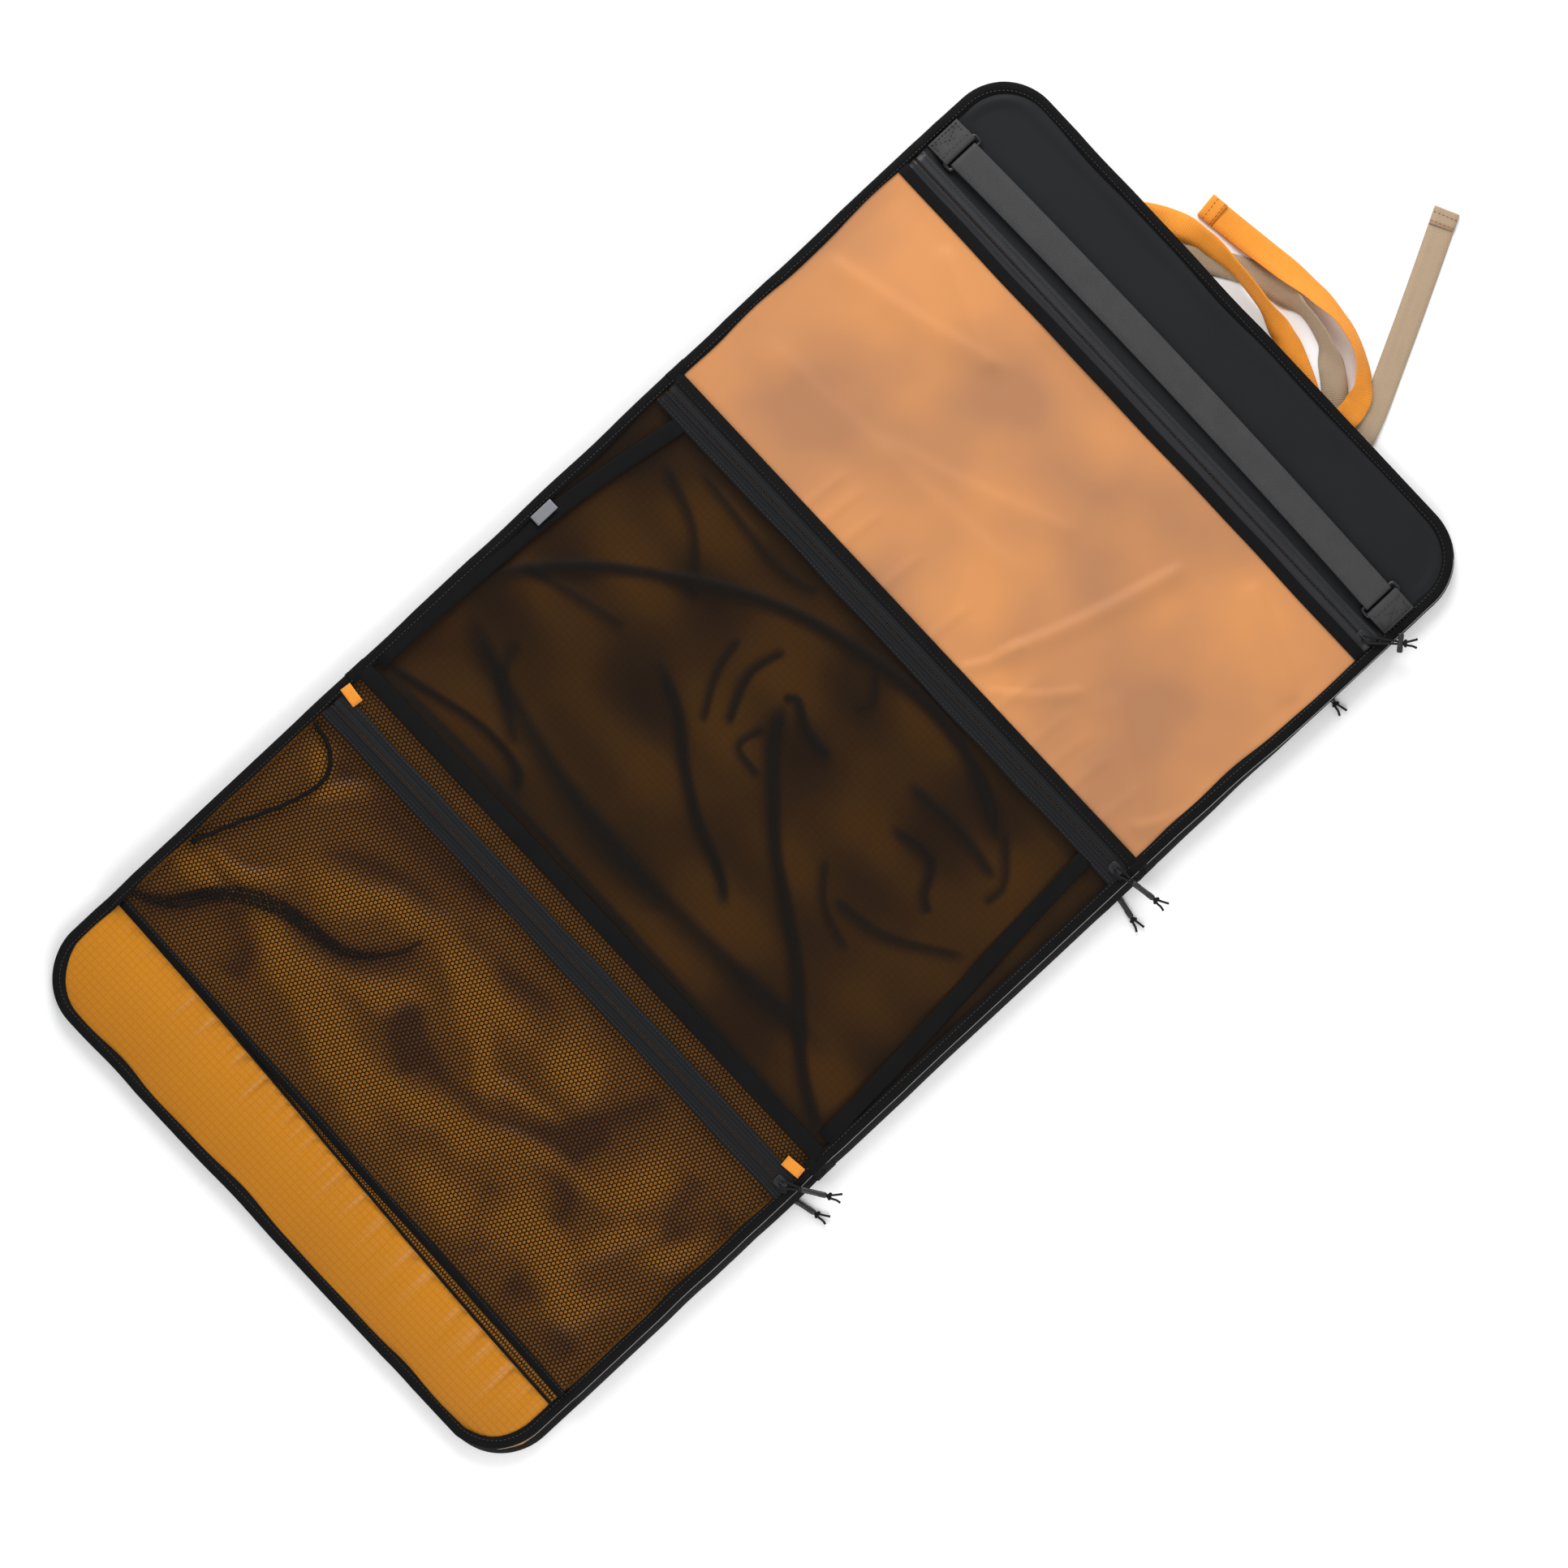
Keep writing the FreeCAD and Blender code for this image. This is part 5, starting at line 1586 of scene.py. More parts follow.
def coil_teeth(y, face, up, material):
    """The coil's turns where they show in the slit: small rungs across it, from one side to the other."""
    pitch = 1.5 * MM
    count = int(2 * (ZIP_END - 2 * MM) / pitch)
    points, faces = [], []
    for k in range(count):
        x = -ZIP_END + 2 * MM + k * pitch
        slant = 0.25 * MM if k % 2 else -0.25 * MM
        first = len(points)
        for dx, dz in ((-0.35, 0.0), (-0.2, 0.35), (0.2, 0.35), (0.35, 0.0), (0.2, -0.3), (-0.2, -0.3)):
            for dy in (-1.0, 1.0):
                points.append((x + dx * MM + slant * dy, y + dy * MM, face + up * (0.35 + dz) * MM))
        for j in range(6):
            a, b = first + 2 * j, first + 2 * ((j + 1) % 6)
            faces.append((a, b, b + 1, a + 1))
        faces.append(tuple(first + 2 * j for j in range(6)))
        faces.append(tuple(first + 2 * j + 1 for j in range(5, -1, -1)))
    return face_out(make_mesh("rungs", points, faces, material, uvs=[(p[0], p[1]) for p in points]))


def make_zips():
    """The six zips' tapes and coils."""
    stands_for = {"mesh": ("mesh_zip_tape", "mesh_zip_coil"), "fine": ("fine_zip_tape", "fine_zip_coil"),
                  "head": ("head_zip_tape", "head_zip_coil"), "low_back": ("lower_back_zip",),
                  "mid_back": ("middle_back_zip",), "up_back": ("upper_back_zip",)}
    for seed, (name, nodes) in enumerate(stands_for.items()):
        up = -1 if name.endswith("back") else 1
        face = BACK_FACE if up < 0 else TAPE_FACE
        half = HEAD_TAPE_HALF if name == "head" else TAPE_HALF
        tape = finish("laminated" if name == "head" else "zip_tape")
        parts = [zip_half(s, ZIP_Y[name], face, up, half, 1.1, tape, 60 + seed) for s in (-1, 1)]
        parts.append(coil_teeth(ZIP_Y[name], face, up, finish("sleeve")))
        settle(join(name + "_zip", parts), PANEL_OF[name], "sealed_zip_tape" if name == "head" else "zip_tape", *nodes)


def plate(name, x, y, outline, low, high, material):
    """A flat plate of an outline given as (x, y) points, with softened edges."""
    count = len(outline)
    points = [(x + a, y + b, low) for a, b in outline] + [(x + a, y + b, high) for a, b in outline]
    faces = [(k, (k + 1) % count, count + (k + 1) % count, count + k) for k in range(count)]
    faces += [tuple(range(count))[::-1], tuple(range(count, 2 * count))]
    piece = face_out(make_mesh(name, points, faces, material, uvs=[(p[0], p[1]) for p in points]))
    modify(piece, "BEVEL", width=0.22 * MM, segments=2, limit_method="ANGLE")
    return bake(piece)


def make_sliders():
    """The six sliders: two shaped plates, the neck between them and the bridge for the cord."""
    outline = []
    for k in range(28):
        a = 2 * math.pi * k / 28
        c, s = math.cos(a), math.sin(a)
        px = 5.4 * MM * math.copysign(abs(c) ** 0.55, c)
        py = 3.9 * MM * math.copysign(abs(s) ** 0.6, s) * (1 - 0.16 * (px / (5.4 * MM)))
        outline.append((px, py))
    neck = [(3.0 * MM, -0.5 * MM), (5.0 * MM, -0.5 * MM), (5.0 * MM, 0.5 * MM), (3.0 * MM, 0.5 * MM)]
    for name, y in ZIP_Y.items():
        up = -1 if name.endswith("back") else 1
        face = BACK_FACE if up < 0 else TAPE_FACE
        x = SLIDER_X[name]
        parts = []
        for shape, low, high in ((outline, 1.3, 2.0), (outline, -1.2, -0.6), (neck, -0.6, 1.3)):
            z = sorted((face + up * low * MM, face + up * high * MM))
            parts.append(plate("plate", x, y, shape, z[0], z[1], finish("slider")))
        bridge = [(-2.9, 1.9), (-2.9, 3.3)] + [(-0.35 + 2.55 * math.cos(a), 3.3 + 0.6 * math.sin(a))
                                               for a in np.linspace(math.pi * 0.9, math.pi * 0.1, 7)] + [(2.2, 3.3), (2.2, 1.9)]
        path = [Vector((x + a * MM, y, face + up * b * MM)) for a, b in bridge]
        parts.append(ribbon("bridge", path, Vector((0, 1, 0)), 1.6 * MM, 0.9 * MM, finish("slider")))
        settle(join(name + "_slider_body", parts), name + "_slider", "slider_metal", name + "_slider")


# ---------------------------------------------------------------- pulls

def turned(points, origin, angle):
    """Points given along a pull, carried to its slider's foot and turned to its direction."""
    c, s = math.cos(angle), math.sin(angle)
    return [Vector((origin.x + a * c - b * s, origin.y + a * s + b * c, origin.z + h)) for a, b, h in points]


def lathe(name, profile, origin, angle, material, crosswise=False, sides=14, oval=1.5):
    """An oval shape along a pull, or across it: the profile is (place along, radius)."""
    sections = []
    for place, radius in profile:
        ring = []
        for k in range(sides):
            a = 2 * math.pi * k / sides
            b, h = oval * radius * math.cos(a), radius * math.sin(a)
            ring.append((b, place, h) if crosswise else (place, b, h))
        sections.append(ring)
    return sweep(name, [turned(ring, origin, angle) for ring in sections], material)


def grip_profile(start, length, radius, rings=5):
    """A moulded sleeve's profile: rounded ends and shallow grip rings."""
    ends = [(0.0, 0.35), (0.015, 0.75), (0.05, 0.95), (0.09, 1.0)]
    middle = [(t, 1.0 - 0.13 * (0.5 - 0.5 * math.cos(2 * math.pi * rings * (t - 0.3) / 0.4)))
              for t in np.linspace(0.3, 0.7, rings * 6 + 1)]
    shape = ends + middle + [(1 - t, r) for t, r in ends[::-1]]
    return [(start + t * length, radius * r) for t, r in shape]


def make_pull(name):
    """One pull: the cord's loop round the slider's foot, and its sleeve or toggle, knot and tails."""
    toggle = name == "head"
    low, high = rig.box(name + "_pull_cord")
    z = (low.z + high.z) / 2
    foot = Vector((SLIDER_X[name] + FOOT_X, ZIP_Y[name], z))
    away = middle_of(name + "_pull_end") - foot
    angle = math.atan2(away.y, away.x)
    reach = (25 if toggle else 14) * MM
    radius = sizes().cord / 2
    leg = [(reach + 0.2 * MM, 0.9 * MM, 0), (reach * 0.6, 1.35 * MM, 0), (reach * 0.25, 2.3 * MM, 0), (0.0, 2.7 * MM, 0),
           (-2.15 * MM, 2.2 * MM, 0)]
    route = leg + [(a, -b, h) for a, b, h in leg[::-1]]
    line = nurbs_line(turned(route, foot, angle), 10)
    cord = tube(name + "_cord", line, radius, finish("cord"))
    parts = []
    if toggle:
        parts.append(lathe("toggle", grip_profile(-7.5 * MM, 15 * MM, 1.5 * MM, 3), turned([(reach + 1.5 * MM, 0, 0)], foot, angle)[0],
                           angle, finish("sleeve"), True))
        knot_at = reach + 3.0 * MM
    else:
        parts.append(lathe("sleeve", grip_profile(reach, 20 * MM, 1.5 * MM), foot, angle, finish("sleeve")))
        knot_at = reach + 20 * MM
    knot = []
    for t in np.linspace(0, 2 * math.pi, 44):
        knot.append((knot_at + 1.9 * MM + 0.55 * MM * (math.cos(t) - 2 * math.cos(2 * t)),
                     0.85 * MM * (math.sin(t) + 2 * math.sin(2 * t)), 0.6 * MM * -math.sin(3 * t)))
    parts.append(tube("knot", turned(knot, foot, angle), radius * 0.95, finish("cord")))
    for s in (-1, 1):
        bend = 2.6 if s > 0 else 1.4
        tail = [(knot_at + 2.2 * MM, s * 0.8 * MM, 0), (knot_at + 4.5 * MM, s * 1.5 * MM, 0),
                (knot_at + 7.5 * MM, s * bend * MM, 0), (knot_at + 10.0 * MM, s * (bend + 0.9) * MM, 0),
                (knot_at + 11.2 * MM, s * (bend + 1.4) * MM, 0)]
        path = nurbs_line(turned(tail, foot, angle), 5)
        swell = [radius] * (len(path) - 3) + [radius * 1.12, radius * 1.15, radius * 0.7]
        parts.append(tube("tail", path, swell, finish("cord")))
    end = join(name + "_pull_grip", parts)
    settle(end, name + "_pull", "pull_plastic", name + "_pull_end")
    settle(cord, name + "_pull", "pull_cord", name + "_pull_cord")
    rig.cord(cord, exit=foot, length=0.0565 if toggle else 0.0345, diameter=sizes().cord, far_end="fitting",
            stiffness="limp", lay="loose", path=line, with_pieces=[end])


# ---------------------------------------------------------------- head, handle and straps

def make_head_panel():
    """The coated head: it drops from the zip, and its middle lies in a shallow tray inside the edge."""
    wave = ripples(101, 0.16)
    radius = CORNER - 10 * MM

    def height(x, y):
        half = HALF - 9 * MM
        dx = np.maximum(np.abs(x) - (half - radius), 0)
        dy = np.maximum(y - (TOP - 9 * MM - radius), 0)
        inset = radius - np.hypot(dx, dy)
        inset = np.where((dx > 0) | (dy > 0), inset, radius)
        side = half - np.abs(x)
        end = TOP - 9 * MM - y
        inset = np.minimum(inset, np.minimum(side, end))
        rim = 1.5 * MM * smooth(inset / (5 * MM)) * (1 - smooth((inset - 6 * MM) / (5 * MM)))
        rim = rim * smooth((y - HANDLE_Y - 14 * MM) / (16 * MM))
        step = (FRONT_TOP - HEAD_TOP - 0.8 * MM) * (1 - smooth((y - HEAD_START - 1 * MM) / (9 * MM)))
        return HEAD_TOP - 0.1 * MM + rim + step + 0.35 * MM * wave(x, y)
    rows = panel_rows(HEAD_START - 4 * MM, TOP - WALL, WALL, height, step=2.2 * MM, across=180, rounded_high=True)
    piece = sheet_piece("head_cloth", rows, finish("coated"), 0.4 * MM, -1)
    settle(piece, "upper_panel", "coated_head_fabric", "head_panel")


def make_handle():
    """The webbing handle, its two rings and the tabs that hold them."""
    bar_clear = RING_BAR + 0.4 * MM
    wrap = bar_clear + 0.6 * MM
    right = [(x * MM, z * MM) for x, z in ((204, 14.0), (209, 13.2), (215, 11.4), (221, RING_Z / MM - 2.25))]
    right += arc(RING_X[0], RING_Z, wrap, -90, 90, 12)
    top = [(x, RING_Z + wrap - 1.3 * MM * (1 - (x / RING_X[0]) ** 2)) for x in np.linspace(RING_X[0] - 3 * MM, -RING_X[0] + 3 * MM, 60)]
    left = [(-x, z) for x, z in right[::-1]]
    path = []
    for x, z in right + top + left:
        bow = 3.0 * MM * (1 - (x / RING_X[0]) ** 2)
        path.append(Vector((x, HANDLE_Y - 1.0 * MM + bow, z)))
    strap = ribbon("handle_webbing", path, Vector((0, 1, 0)), 25 * MM, 1.2 * MM, finish("webbing"))
    settle(strap, "upper_panel", "handle_webbing", "handle_strap")
    tabs, rings = [], []
    for s in (-1, 1):
        end = ZIP_END + 1 * MM
        outline = [(end, HEAD_TOP + 1.8 * MM), (end - 5 * MM, HEAD_TOP + 1.9 * MM), (RING_X[1] + 6 * MM, RING_Z + wrap * 0.75)]
        outline += arc(RING_X[1], RING_Z, wrap, 90, 270, 12)
        outline += [(RING_X[1] + 6 * MM, RING_Z - wrap), (end - 5 * MM, HEAD_TOP + 0.6 * MM), (end, HEAD_TOP + 0.6 * MM)]
        tab_path = [Vector((s * x, HANDLE_Y - 1 * MM, z)) for x, z in outline]
        tabs.append(ribbon("tab", tab_path, Vector((0, 1, 0)), 30 * MM, 1.1 * MM, finish("webbing")))
        cx, cy = (RING_X[0] + RING_X[1]) / 2, HANDLE_Y - 0.5 * MM
        hx, hy, turn = (RING_X[1] - RING_X[0]) / 2, RING_HALF + 0.8 * MM, 2.2 * MM
        loop = []
        for qx, qy, a0 in ((1, 1, 0), (-1, 1, 90), (-1, -1, 180), (1, -1, 270)):
            for a in np.radians(np.linspace(a0, a0 + 90, 6)):
                loop.append(Vector((s * (cx + qx * (hx - turn) + turn * math.cos(a)),
                                    cy + qy * (hy - turn) + turn * math.sin(a), RING_Z)))
        loop.append(loop[0])
        sections = []
        for i, p in enumerate(loop):
            after = loop[1] if i == len(loop) - 1 else loop[i + 1]
            before = loop[-2] if i == 0 else loop[i - 1]
            out = (after - before).normalized().cross(Vector((0, 0, 1)))
            sections.append([p + (out * math.cos(a) + Vector((0, 0, 1)) * math.sin(a)) * RING_BAR
                             for a in np.linspace(0, 2 * math.pi, 13)[:-1]])
        rings.append(sweep("ring", sections, finish("ring"), caps=False))
    settle(join("handle_tabs", tabs), "upper_panel", "handle_webbing", "handle_anchor_tabs")
    settle(join("handle_rings_moulded", rings), "upper_panel", "ring_plastic", "handle_rings")


# Each strap's route: x, y, z in metres, then its heading in plan and its lean, both in degrees.
ORANGE_ROUTE = [
    (-0.128, 0.474, 0.0034, 50, 0), (-0.108, 0.495, 0.0034, 42, 0), (-0.084, 0.511, 0.0036, 28, 0),
    (-0.056, 0.5195, 0.0082, 12, 46), (-0.024, 0.521, 0.0114, -2, 69), (0.008, 0.5180, 0.0106, -12, 69),
    (0.032, 0.514, 0.0072, -15, 38), (0.054, 0.507, 0.0034, -18, 0), (0.080, 0.496, 0.0029, -26, 0),
    (0.102, 0.484, 0.0029, -34, 0), (0.116, 0.4745, 0.0029, -36, 0), (0.1169, 0.4738, 0.0035, -36, 0),
    (0.116, 0.4745, 0.0041, 144, 180), (0.112, 0.490, 0.0041, 100, 180), (0.113, 0.506, 0.0041, 92, 180),
    (0.111, 0.519, 0.0060, 106, 196), (0.102, 0.533, 0.0115, 124, 228), (0.084, 0.546, 0.0135, 148, 242),
    (0.058, 0.553, 0.0145, 168, 238), (0.028, 0.552, 0.0126, 181, 218), (-0.006, 0.5475, 0.0060, 187, 194),
    (-0.040, 0.5425, 0.0016, 187, 184), (-0.076, 0.538, 0.0007, 188, 180),
]
TAN_ROUTE = [
    (-0.086, 0.474, 0.0006, 52, 0), (-0.066, 0.495, 0.0006, 44, 0), (-0.042, 0.513, 0.0006, 34, 0),
    (-0.014, 0.529, 0.0006, 26, 0), (0.008, 0.535, 0.0040, 14, 18), (0.034, 0.5375, 0.0102, -4, 72),
    (0.060, 0.533, 0.0098, -22, 66), (0.080, 0.522, 0.0034, -36, 14), (0.100, 0.507, 0.0006, -38, 0),
    (0.118, 0.492, 0.0006, -38, 0), (0.134, 0.480, 0.0006, -36, 0), (0.1349, 0.4793, 0.00115, -36, 0),
    (0.134, 0.480, 0.0017, 144, 180), (0.134, 0.492, 0.0017, 100, 180), (0.131, 0.506, 0.0017, 104, 180),
    (0.124, 0.524, 0.0012, 112, 180), (0.112, 0.548, 0.0007, 116, 180), (0.082, 0.608, 0.0007, 115, 180),
    (0.051, 0.667, 0.0007, 114, 180),
]


def strap_path(route):
    """A strap's smooth middle line, and the direction across it at each point."""
    resolution = 10
    line = nurbs_line([p[:3] for p in route], resolution)
    lays = []
    for x, y, z, heading, lean in route:
        h, a = math.radians(heading), math.radians(lean)
        along, flat = Vector((math.cos(h), math.sin(h), 0)), Vector((-math.sin(h), math.cos(h), 0))
        lays.append(flat * math.cos(a) + along.cross(flat) * math.sin(a))
    across = []
    spans = len(route) - 2
    for i in range(len(line)):
        t = i / (len(line) - 1) * spans + 0.5
        t = min(max(t if 0.5 < t < spans + 0.5 else (0 if t <= 0.5 else spans + 1), 0), len(lays) - 1)
        k = min(int(t), len(lays) - 2)
        f = smooth(t - k)
        across.append(lays[k] * (1 - float(f)) + lays[k + 1] * float(f))
    return line, across


def make_tie_strap(name, route, length, material, thread, slot, node):
    """A tie strap: flat webbing with its free end folded over and sewn."""
    line, across = strap_path(route)
    strap = ribbon(name, line, across, STRAP_WIDTH, STRAP_THICK, material)
    end = line[-1]
    back = (line[-1] - line[-4]).normalized()
    side = across[-1].normalized()
    hem_path = [end - back * d * MM + Vector((0, 0, 1.05 * MM)) for d in (13, 9, 5, 1.5, 0)]
    hem_path += [end + back * 0.4 * MM + Vector((0, 0, 0.55 * MM))]
    hem = ribbon(name + "_hem", hem_path, side, STRAP_WIDTH, 0.9 * MM, material)
    runs = [[end - back * d * MM + side * a * MM + Vector((0, 0, 1.6 * MM)) for a in (-8.5, 0, 8.5)] for d in (4.0, 11.0)]
    stitches = stitch_lines(name + "_stitches", runs, finish(thread), sizes())
    settle(stitches, "upper_panel", slot)
    settle(hem, "upper_panel", slot)
    settle(strap, "upper_panel", slot, node)
    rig.cord(strap, exit=line[0], length=length, diameter=STRAP_WIDTH, far_end="bare", stiffness="limp", lay="loose",
            path=line, with_pieces=[hem, stitches])


# ---------------------------------------------------------------- across the folds

def make_fold_cloth():
    """The cloth that crosses the two folds: a spine below, a tape above and a short length of each edge."""
    for other, fold, name in (("lower_panel", FOLD_LOW, "lower"), ("upper_panel", FOLD_UP, "upper")):
        def height(x, y, fold=fold):
            return 0.1 * MM + 0 * x
        rows = panel_rows(fold - SPINE_HALF - 2 * MM, fold + SPINE_HALF + 2 * MM, WALL, height, step=1.4 * MM, across=60)
        spine = sheet_piece(name + "_spine_cloth", rows, finish("shell"), 0.8 * MM, 1)
        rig.slot(spine, "back_polyester")
        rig.replaces(spine, name + "_spine")
        a, b = ("lower_panel", "middle_panel") if other == "lower_panel" else ("middle_panel", "upper_panel")
        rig.blend(spine, a, b, start=(0, fold - 10 * MM, 0), end=(0, fold + 10 * MM, 0))
        centre, width = (fold + 4.5 * MM, 13 * MM) if other == "lower_panel" else (fold - 4 * MM, 11 * MM)
        rows = []
        for y in np.linspace(centre - width / 2, centre + width / 2, 12):
            x = np.linspace(-HALF + LAP - 2 * MM, HALF - LEAN - LAP + 2 * MM, 90)
            t = (y - centre) / (width / 2)
            rows.append(np.stack([x, np.full_like(x, y), FRONT_TOP + 0.9 * MM - 0.5 * MM * t * t + 0 * x], -1))
        tape = sheet_piece(name + "_fold_tape", rows, finish("binding"), 0.8 * MM, -1)
        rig.slot(tape, "binding_tape")
        if other == "lower_panel":
            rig.replaces(tape, "fine_mesh_seam_tape")
        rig.blend(tape, a, b, start=(0, fold - 2 * MM, 0), end=(0, fold + 2 * MM, 0))
        for s, side in ((-1, "left"), (1, "right")):
            sections = []
            for y in np.linspace(fold - 9 * MM, fold + 9 * MM, 15):
                floor = 0.05 * MM
                near = rim_section("middle_panel", (s * HALF, 0.0), (s, 0), 0.0)
                low_part = float(underside(y, ZIP_Y["low_back"], TUNNEL)) if y < FOLD_LOW and other == "lower_panel" else 0.0
                if other == "upper_panel" and y < FOLD_UP:
                    low_part = float(underside(y, ZIP_Y["mid_back"], TUNNEL))
                low_part *= float(smooth((fold - y) / (8 * MM)))
                made = []
                for p in near:
                    z = p.z + low_part * (1 - (p.z / (15 * MM)))
                    made.append(Vector((p.x + s * 0.25 * MM, y, z + (0.12 * MM if p.z > 7 * MM else floor))))
                sections.append(made)
            piece = sweep("%s_fold_edge_%s" % (name, side), sections, finish("binding"))
            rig.slot(piece, "binding_tape")
            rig.blend(piece, a, b, start=(0, fold - 8 * MM, 0), end=(0, fold + 8 * MM, 0))


# ---------------------------------------------------------------- labels, tabs and stitches

def make_trim():
    """The blank side label and the two orange tabs at the ends of the coarse net's zip."""
    low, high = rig.box("side_label")
    rows = []
    for y in np.linspace(low.y, high.y, 14):
        x = np.linspace(low.x - 1 * MM, high.x - 1 * MM, 8)
        rows.append(np.stack([x, np.full_like(x, y), FRONT_TOP + 1.2 * MM + 0.3 * MM * np.sin((y - low.y) * 160) + 0 * x], -1))
    label = sheet_piece("blank_label", rows, finish("label"), 0.35 * MM, 1)
    settle(label, "middle_panel", "label_cloth", "side_label")
    tabs = []
    for s in (-1, 1):
        x0 = s * (NET_RIGHT if s > 0 else -NET_LEFT)
        y0 = ZIP_Y["mesh"] + 14 * MM
        path = [Vector((x0 - s * d * MM, y0 + (1.5 - 0.12 * d) * MM, FRONT_TOP + (1.7 - 0.004 * d * d) * MM)) for d in (-1, 3, 7, 11, 15)]
        tabs.append(ribbon("tab", path, Vector((0, 1, 0)), 9 * MM, 0.8 * MM, finish("orange_webbing")))
    settle(join("zip_end_tabs", tabs), "lower_panel", "tab_ribbon", "mesh_zip_end_tabs")


def across_run(y, z, left, right, count=60):
    return [(x, (y(x) if callable(y) else y), z) for x in np.linspace(left, right, count)]


def make_stitching():
    """The visible rows of stitches on each panel."""
    left, right = -HALF + LAP + 2 * MM, HALF - LAP - LEAN - 2 * MM
    high = FRONT_TOP + 1.45 * MM
    runs = {"lower_panel": [], "middle_panel": [], "upper_panel": []}
    for name in ("mesh", "fine"):
        for side in (-9.8, 9.8):
            runs[PANEL_OF[name]].append(across_run(ZIP_Y[name] + side * MM, TAPE_FACE + 0.12 * MM, left, right))
    runs["upper_panel"].append(across_run(ZIP_Y["head"] + 7.2 * MM, TAPE_FACE + 0.12 * MM, left, right))
    runs["lower_panel"].append(across_run(lambda x: hem_line(x) + 2.5 * MM, FRONT_TOP - 0.3 * MM, left, right))
    for panel in runs:
        for points, outward in edge_path(panel):
            run = []
            for p, n in zip(points, outward):
                d = LAP - 2.2 * MM + lean_at(panel, *p) * abs(n[0])
                run.append((p[0] - n[0] * d, p[1] - n[1] * d, rim_height(panel, p[1]) + 0.02 * MM))
            runs[panel].append(run[2:-2])
    for s in (-1, 1):
        near, far = s * 0.2365, s * 0.2490
        y0, y1, z = HANDLE_Y - 13 * MM, HANDLE_Y + 11 * MM, HEAD_TOP + 3.2 * MM
        corners = [(near, y0), (far, y0), (far, y1), (near, y1), (near, y0)]
        for (ax, ay), (bx, by) in list(zip(corners, corners[1:])) + [((near, y0), (far, y1)), ((near, y1), (far, y0))]:
            rise = [HEAD_TOP + 2.75 * MM + max(0.0, (0.2455 - abs(px)) / 0.0065) * 2.1 * MM for px in (ax, bx)]
            runs["upper_panel"].append([(ax + (bx - ax) * t, ay + (by - ay) * t, rise[0] + (rise[1] - rise[0]) * t)
                                        for t in (0, 0.5, 1)])
    for panel, lines in runs.items():
        stitches = stitch_lines(panel + "_stitches", lines, finish("black_thread"), sizes())
        settle(stitches, panel, "binding_tape")


# ---------------------------------------------------------------- the stage

def make_stage():
    """A pale floor, soft light from all round and above, and the camera straight overhead."""
    bpy.ops.mesh.primitive_plane_add(size=12, location=(0, 0, -0.3 * MM))
    floor = bpy.context.object
    floor.name = "floor"
    floor.data.materials.append(finish("paper"))
    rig.stage(floor)
    bpy.context.scene.view_settings.view_transform = "Standard"
    world = bpy.data.worlds.new("studio")
    world.use_nodes = True
    tree = world.node_tree
    up = add_node(tree, "ShaderNodeSeparateXYZ", {"Vector": add_node(tree, "ShaderNodeTexCoord").outputs["Generated"]})
    glow = add_node(tree, "ShaderNodeMapRange", {
        "Value": up.outputs["Z"], "From Min": 0.35, "From Max": 0.98, "To Min": 0.95, "To Max": 0.42})
    tree.links.new(glow.outputs["Result"], tree.nodes["Background"].inputs["Strength"])
    tree.nodes["Background"].inputs["Color"].default_value = (1, 1, 1, 1)
    bpy.context.scene.world = world
    for name, place, size, power in (("key", (-1.5, 1.3, 1.1), 1.5, 50), ("fill", (1.6, -0.9, 1.3), 1.8, 26)):
        light = bpy.data.lights.new(name, "AREA")
        light.shape = "DISK"
        light.size = size
        light.energy = power
        lamp = bpy.data.objects.new(name, light)
        lamp.location = place
        lamp.rotation_euler = (Vector((0, 0, 0)) - Vector(place)).to_track_quat("-Z", "Y").to_euler()
        bpy.context.scene.collection.objects.link(lamp)
    camera = bpy.data.cameras.new("overhead")
    camera.sensor_width = 36
    height, across = 4.0, 1.1785
    camera.lens = 36 * height / across
    eye = bpy.data.objects.new("overhead", camera)
    eye.location = (24.9 * MM, 9.2 * MM, height)
    eye.rotation_euler = (0, 0, math.radians(46.9))
    bpy.context.scene.collection.objects.link(eye)
    bpy.context.scene.camera = eye


# ---------------------------------------------------------------- operators and panel

def operator(name, label, does, make):
    """An operator class that makes one piece or group of pieces."""
    def execute(self, context):
        make()
        return {"FINISHED"}
    return type("ORGANISER_OT_" + name, (bpy.types.Operator,), {
        "bl_idname": "organiser." + name, "bl_label": label, "__doc__": does, "execute": execute})


def make_all_pulls():
    for name in ZIP_Y:
        make_pull(name)


def make_tie_straps():
    make_tie_strap("orange_tie_strap", ORANGE_ROUTE, 0.521, finish("orange_webbing"), "rust_thread",
                   "orange_strap", "tie_strap_orange")
    make_tie_strap("tan_tie_strap", TAN_ROUTE, 0.469, finish("tan_webbing"), "rust_thread",
                   "tan_strap", "tie_strap_tan")


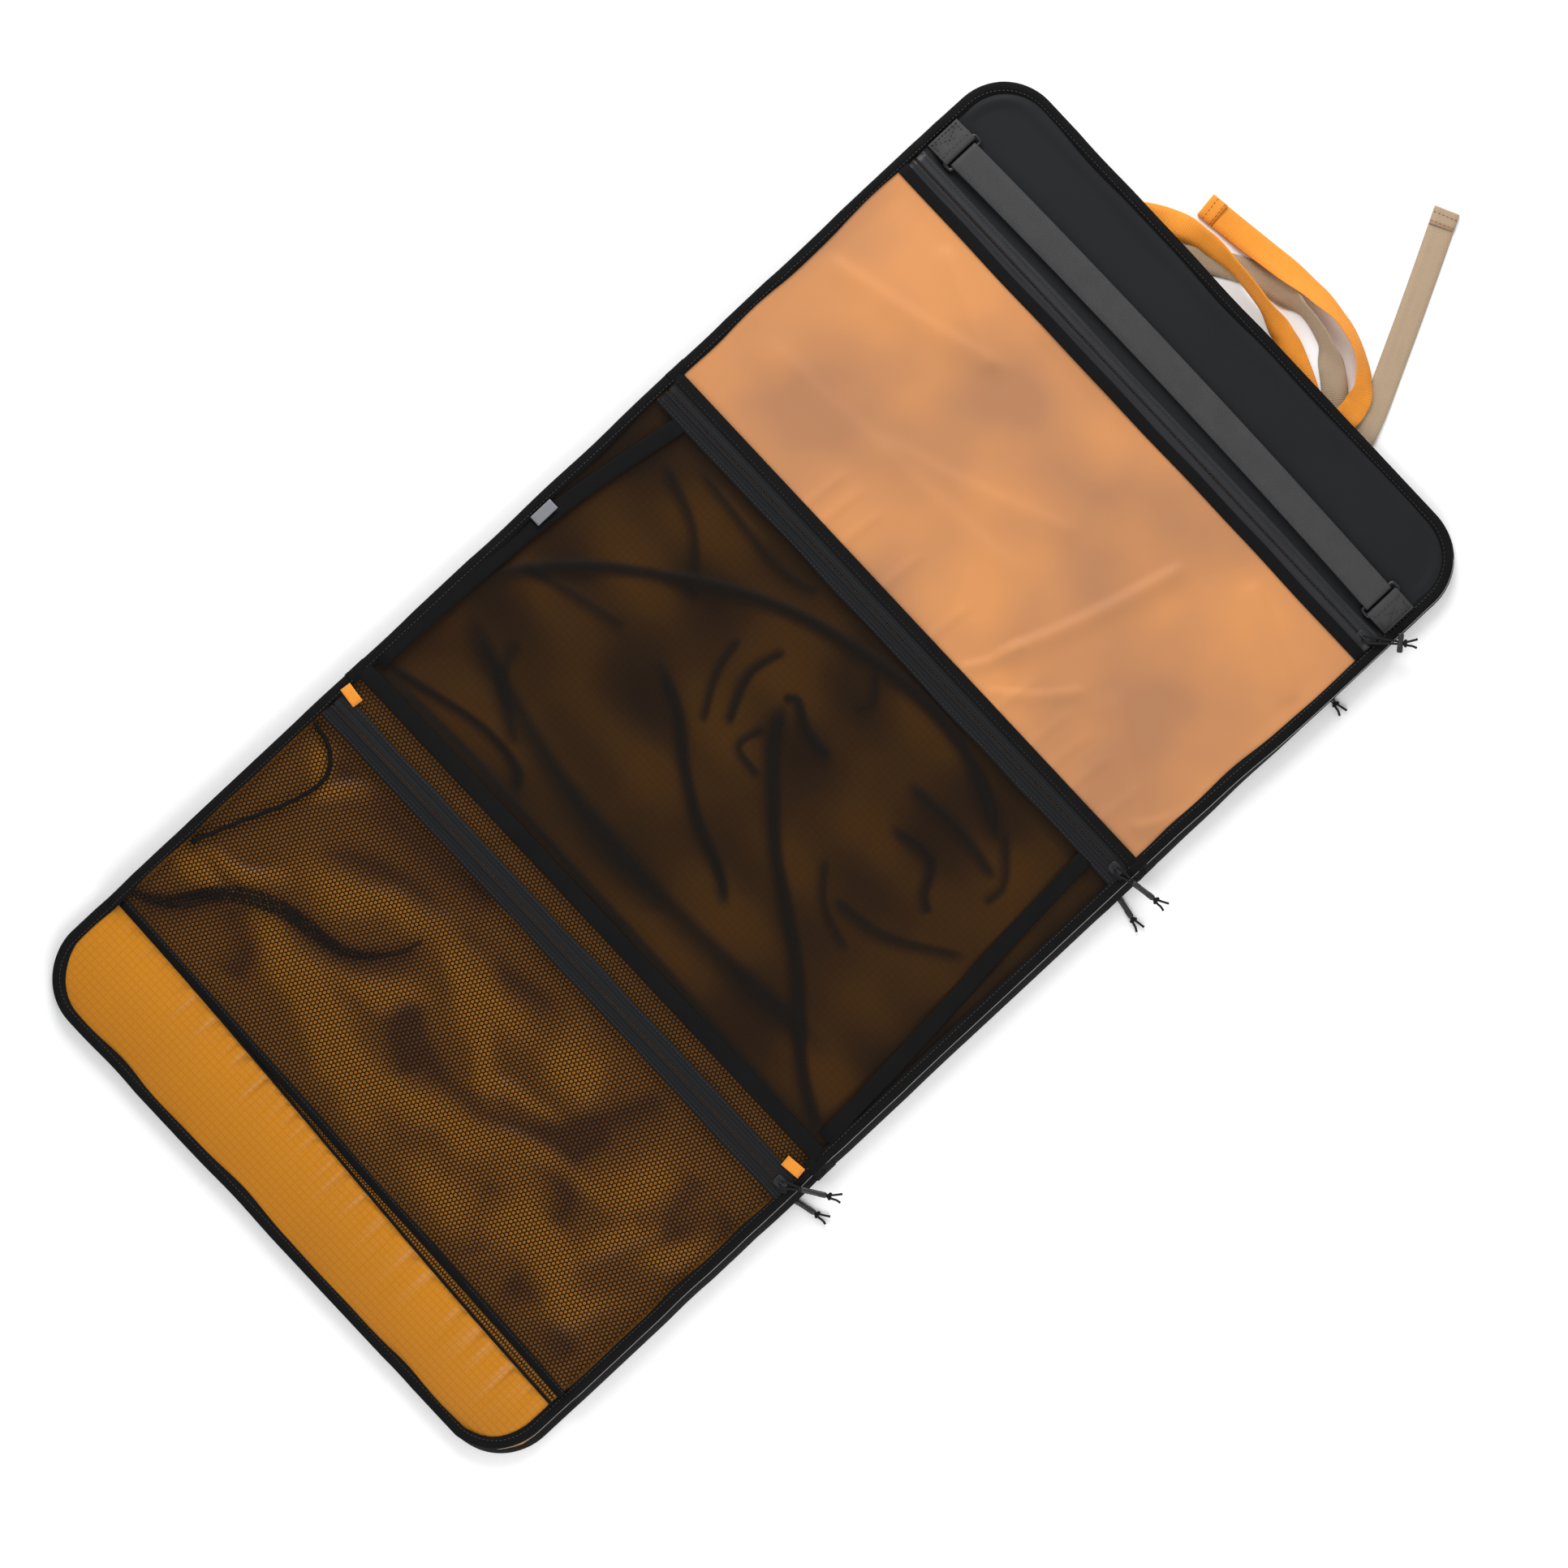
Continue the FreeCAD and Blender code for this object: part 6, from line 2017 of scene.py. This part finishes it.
STEPS = [
    operator("stage", "Stage", "Adds the floor, the lights and the camera.", make_stage),
    operator("pulls", "Zip Pulls", "Adds the cord pulls.", make_all_pulls),
    operator("tie_straps", "Tie Straps", "Adds the two tie straps.", make_tie_straps),
    operator("back_sheets", "Back Sheets", "Adds the charcoal backs.", make_back_sheets),
    operator("linings", "Linings", "Adds the orange linings.", make_linings),
    operator("coarse_net", "Coarse Net", "Adds the coarse net pocket.", make_coarse_net),
    operator("fine_mesh", "Fine Mesh", "Adds the fine mesh pocket.", make_fine_mesh),
    operator("window", "Window", "Adds the frosted window.", make_window),
    operator("bindings", "Bindings", "Adds the tape round the edges.", make_bindings),
    operator("seam_tapes", "Seam Tapes", "Adds the tapes across the pockets.", make_seam_tapes),
    operator("zips", "Zips", "Adds the zips' tapes and coils.", make_zips),
    operator("sliders", "Sliders", "Adds the zips' sliders.", make_sliders),
    operator("head_panel", "Head Panel", "Adds the coated head.", make_head_panel),
    operator("handle", "Handle", "Adds the webbing handle, its rings and tabs.", make_handle),
    operator("fold_cloth", "Fold Cloth", "Adds the cloth that crosses the folds.", make_fold_cloth),
    operator("trim", "Trim", "Adds the blank label and the zip's end tabs.", make_trim),
    operator("stitching", "Stitching", "Adds the visible stitches.", make_stitching),
]


class ORGANISER_PT_pieces(bpy.types.Panel):
    """Lists the operators that build the organiser."""
    bl_label = "Packing Organiser"
    bl_idname = "ORGANISER_PT_pieces"
    bl_space_type = "VIEW_3D"
    bl_region_type = "UI"
    bl_category = "Organiser"

    def draw(self, context):
        for group in (context.scene.organiser_sizes, context.scene.organiser_colours):
            for key in group.__annotations__:
                self.layout.prop(group, key)
        for step in STEPS:
            self.layout.operator(step.bl_idname)


CLASSES = [OrganiserSizes, OrganiserColours, *STEPS, ORGANISER_PT_pieces]


def register():
    for cls in CLASSES:
        bpy.utils.register_class(cls)
    bpy.types.Scene.organiser_sizes = bpy.props.PointerProperty(type=OrganiserSizes)
    bpy.types.Scene.organiser_colours = bpy.props.PointerProperty(type=OrganiserColours)


def unregister():
    del bpy.types.Scene.organiser_colours
    del bpy.types.Scene.organiser_sizes
    for cls in reversed(CLASSES):
        bpy.utils.unregister_class(cls)


def main():
    register()
    for step in STEPS:
        getattr(bpy.ops.organiser, step.bl_idname.split(".")[1])()
    low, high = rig.bounds()
    with open("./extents.json", "w") as out:
        json.dump({"cad": [list(CAD_BOX[0]), list(CAD_BOX[1])], "visual": [list(low), list(high)]}, out)


if __name__ == "__main__":
    main()
